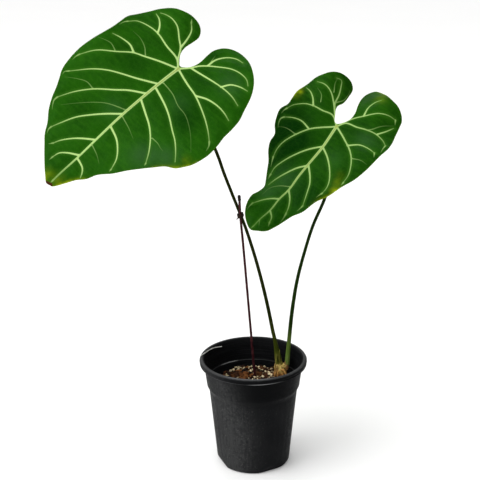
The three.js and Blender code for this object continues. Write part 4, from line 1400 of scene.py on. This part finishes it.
STAKE_ROUTE = [
    (5.9, 19, 47), (1.6, 20, 101.9), (-7.5, 22, 216.3), (-12.4, 23, 277), (-15, 23.6, 306), (-15.9, 24, 325),
]
STAKE_RADIUS, STAKE_LENGTH = 1.48, 278
CAP_PROFILE = [
    (0, 0), (1.5, 0), (1.75, 0.12), (1.92, 0.5), (1.95, 1), (1.9, 1.9), (1.78, 2.5), (1.82, 3.1),
    (1.95, 3.8), (1.97, 4.8), (1.86, 5.7), (1.6, 6.4), (1.15, 6.8), (0.6, 6.97), (0, 7),
]
TIE = {
    "centre": (-14.9, 25.6, 307), "across": 3.35, "deep": 5.4, "tilt": -0.42, "lean": 0.24,
    "turns": 4, "pitch": 1.044, "cord": 0.66, "end": 0.72,
}
# The tie's two free ends, from its centre
TIE_ENDS = (
    ((-0.8, -5.2, -0.4), (-2.2, -4.6, -1.6), (-3.4, -3.6, -2.6), (-4.4, -3.3, -4.4)),
    ((-2.6, -4.4, -2.2), (-0.6, -5.4, -0.8), (1.6, -5.1, 1.2), (3.1, -3.4, 2.2)),
)
# Bearing in degrees, radius and height over the rim of each point of the strip
STRIP_ROUTE = (
    (177, 63.7, 0.5), (172.5, 60.9, 0.7), (165, 59.5, -0.3), (158.5, 58.8, -0.7), (153, 58.3, -1.2),
    (146.5, 58, -2), (139.6, 57.4, -3.4), (133.6, 57.2, -4.5),
)
STRIP_RADIUS = 0.6


def stake(material):
    points, faces, shares, turns = tube(
        STAKE_ROUTE, 24, 160, evenly(STAKE_RADIUS), ripple=rough_skin(0.05, 55)
    )
    values = {"place": np.column_stack([turns * 1.4, shares * STAKE_LENGTH, turns * 0])}
    return add_piece("stake_rod", points, faces, material, ["stake"], values, sharp=70)


def stake_cap(material):
    sides = 32
    x, y, top = STAKE_ROUTE[-1]
    turn = Matrix.Translation(Vector((x, y, top + 0.45))) @ Matrix.Rotation(-0.08, 4, "Y")
    points = []
    for radius, z in CAP_PROFILE:
        for j in range(sides):
            angle = 2 * math.pi * j / sides
            r = radius * (1 + 0.04 * noise.noise(polar(1.5, angle, z * 0.8)))
            points.append((turn @ Vector(polar(r, angle, z)))[:])
    faces = ring_faces(len(CAP_PROFILE), sides)
    made = add_piece("stake_knob", points, faces, material, ["stake_cap"], sharp=50)
    weld(made)
    return made


def tie_turn(k):
    """The route of one turn, which is oval and not quite flat."""
    x, y, z = TIE["centre"]
    rise = (k - (TIE["turns"] - 1) / 2) * TIE["pitch"]
    count = 28
    route = []
    for j in range(count):
        angle = 2 * math.pi * j / count
        wobble = 1 + 0.05 * math.sin(3 * angle + k * 2)
        across = TIE["across"] * wobble * math.cos(angle)
        bend = 0.35 * math.sin(2 * angle + k)
        route.append((
            x - TIE["lean"] * rise + across * math.cos(TIE["tilt"]) + bend * math.sin(TIE["tilt"]),
            y + TIE["deep"] * wobble * math.sin(angle),
            z + rise - across * math.sin(TIE["tilt"]) + bend,
        ))
    return route


def stake_tie(material):
    """Turns of thin cord lie aslant round the stake and the left petiole. Two ends lie free."""
    x, y, z = TIE["centre"]
    parts = [
        tube_part(tie_turn(k), 12, 110, evenly(TIE["cord"]), closed=True, ripple=twist(150))
        for k in range(TIE["turns"])
    ]
    for end in TIE_ENDS:
        route = [(x + dx, y + dy, z + dz) for dx, dy, dz in end]
        parts.append(tube_part(route, 12, 40, evenly(TIE["end"], 0.25), ripple=twist(40)))
    return add_parts("tie_turns", parts, material, ["stake_tie"], 70)


def rim_strip(material):
    rows = []
    for degrees, radius, rise in STRIP_ROUTE:
        rows.append(polar(radius, math.radians(degrees), POT_HEIGHT + rise))
    parts = [tube_part(rows, 16, 80, evenly(STRIP_RADIUS), ripple=rough_skin(0.06, 18))]
    return add_parts("strip_band", parts, material, ["rim_strip"], 70)


def stake_material():
    material, tree = new_material("stake_burgundy", 0.55, 0.04)
    place = attribute(tree, "place", "Vector")
    grain = cloud(scaled(place, (1.2, 0.12, 0)), 1.0, 4)
    bands = cloud(scaled(place, (0.05, 0.09, 0)), 1.0, 3)
    colour = layered(
        (0.014, 0.003, 0.0045),
        (ranged(grain, 0.35, 0.65), (0.045, 0.009, 0.012)),
        (ranged(bands, 0.5, 0.65, 0, 0.5), (0.075, 0.024, 0.026)),
    )
    return finished(material, colour, (grain, 0.0004, 0.7))


def dark_material(name, low, high, scale):
    """Dull dark rubber or fibre with fine relief."""
    material, tree = new_material(name, 0.75, 0.06)
    grain = cloud(object_place(tree), scale, 4)
    rough = ranged(grain, 0.3, 0.7, 0.55, 0.85)
    return finished(material, blended(grain, low, high), (grain, 0.0004, 0.7), rough)


def strip_material():
    material, tree = new_material("strip_pale", 0.5, 0.35)
    stain = cloud(object_place(tree), 200, 4)
    colour = blended(ranged(stain, 0.4, 0.7), (0.50, 0.50, 0.47), (0.26, 0.26, 0.24))
    return finished(material, colour, (stain, 0.0003, 0.5))


# The plant

pot_piece(pot_material())
mix_bed(bed_material())
mix_draw = random.Random(MIX_SEED)
bark_finish = bark_material()
for bark_kind in BARK:
    bark_grains(bark_kind, mix_draw, bark_finish)
perlite_grains(mix_draw, perlite_material())
crown_body(flesh_material())
crown_scales(scale_material())
crown_roots(root_material())
left_green = petiole_material(
    "petiole_olive", (0.27, 0.235, 0.055), (0.046, 0.058, 0.006), (0.0125, 0.018, 0.0006)
)
right_green = petiole_material(
    "petiole_green", (0.20, 0.27, 0.07), (0.12, 0.19, 0.035), (0.008, 0.024, 0.0008)
)
petiole("petiole_left_stalk", LEFT_ROUTE, petiole_width(2.4, 1.9, 2.3, 1.9), "petiole_left", left_green)
petiole("petiole_right_stalk", RIGHT_ROUTE, petiole_width(2.7, 1.95, 2.2, 0.3), "petiole_right", right_green)
sheath_piece(left_green)
leaf_finish = leaf_material()
blade("blade_left", LEFT_LEAF, "leaf_blade_left", leaf_finish)
blade("blade_right", RIGHT_LEAF, "leaf_blade_right", leaf_finish)
stake(stake_material())
stake_cap(dark_material("knob_rubber", (0.006, 0.005, 0.005), (0.022, 0.016, 0.015), 500))
stake_tie(dark_material("tie_fibre", (0.008, 0.005, 0.004), (0.035, 0.02, 0.014), 900))
rim_strip(strip_material())


# Floor, world and lights

def make_floor():
    mesh = bpy.data.meshes.new("floor")
    half = 12
    corners = [(-half, -half, 0), (half, -half, 0), (half, half, 0), (-half, half, 0)]
    mesh.from_pydata(corners, [], [(0, 1, 2, 3)])
    floor = bpy.data.objects.new("floor", mesh)
    floor.location.z = -0.0002
    bpy.context.scene.collection.objects.link(floor)
    material, tree = new_material("floor_pale", 0.9, 0.1)
    tone = cloud(object_place(tree), 3, 2)
    mesh.materials.append(finished(material, blended(tone, (0.92, 0.92, 0.915), (0.94, 0.94, 0.935))))


def make_world():
    """Soft white light all round, stronger from the upper left."""
    world = bpy.data.worlds.new("studio")
    world.use_nodes = True
    tree = world.node_tree
    ahead = source(tree, "TexCoord").outputs["Generated"]
    turned = node("VectorMath", {0: ahead, 1: (-0.8, -0.25, 0.55)}, operation="DOT_PRODUCT").outputs["Value"]
    background = tree.nodes["Background"]
    background.inputs["Color"].default_value = (1, 1, 1, 1)
    tree.links.new(ranged(turned, -1, 1, 0.02, 1.5, smooth=False), background.inputs["Strength"])
    bpy.context.scene.world = world


def make_light(name, at, aim, size, power):
    data = bpy.data.lights.new(name, "AREA")
    data.shape = "DISK"
    data.size = size
    data.energy = power
    lamp = bpy.data.objects.new(name, data)
    lamp.location = at
    lamp.rotation_euler = (Vector(aim) - Vector(at)).to_track_quat("-Z", "Y").to_euler()
    bpy.context.scene.collection.objects.link(lamp)


make_floor()
make_world()
make_light("key", (-1.9, -0.9, 1.9), (0, 0, 0.25), 2.4, 39)
make_light("back", (-0.3, 1.8, 2.1), (0, 0, 0.3), 1.2, 6)
bpy.context.scene.view_settings.view_transform = "Standard"
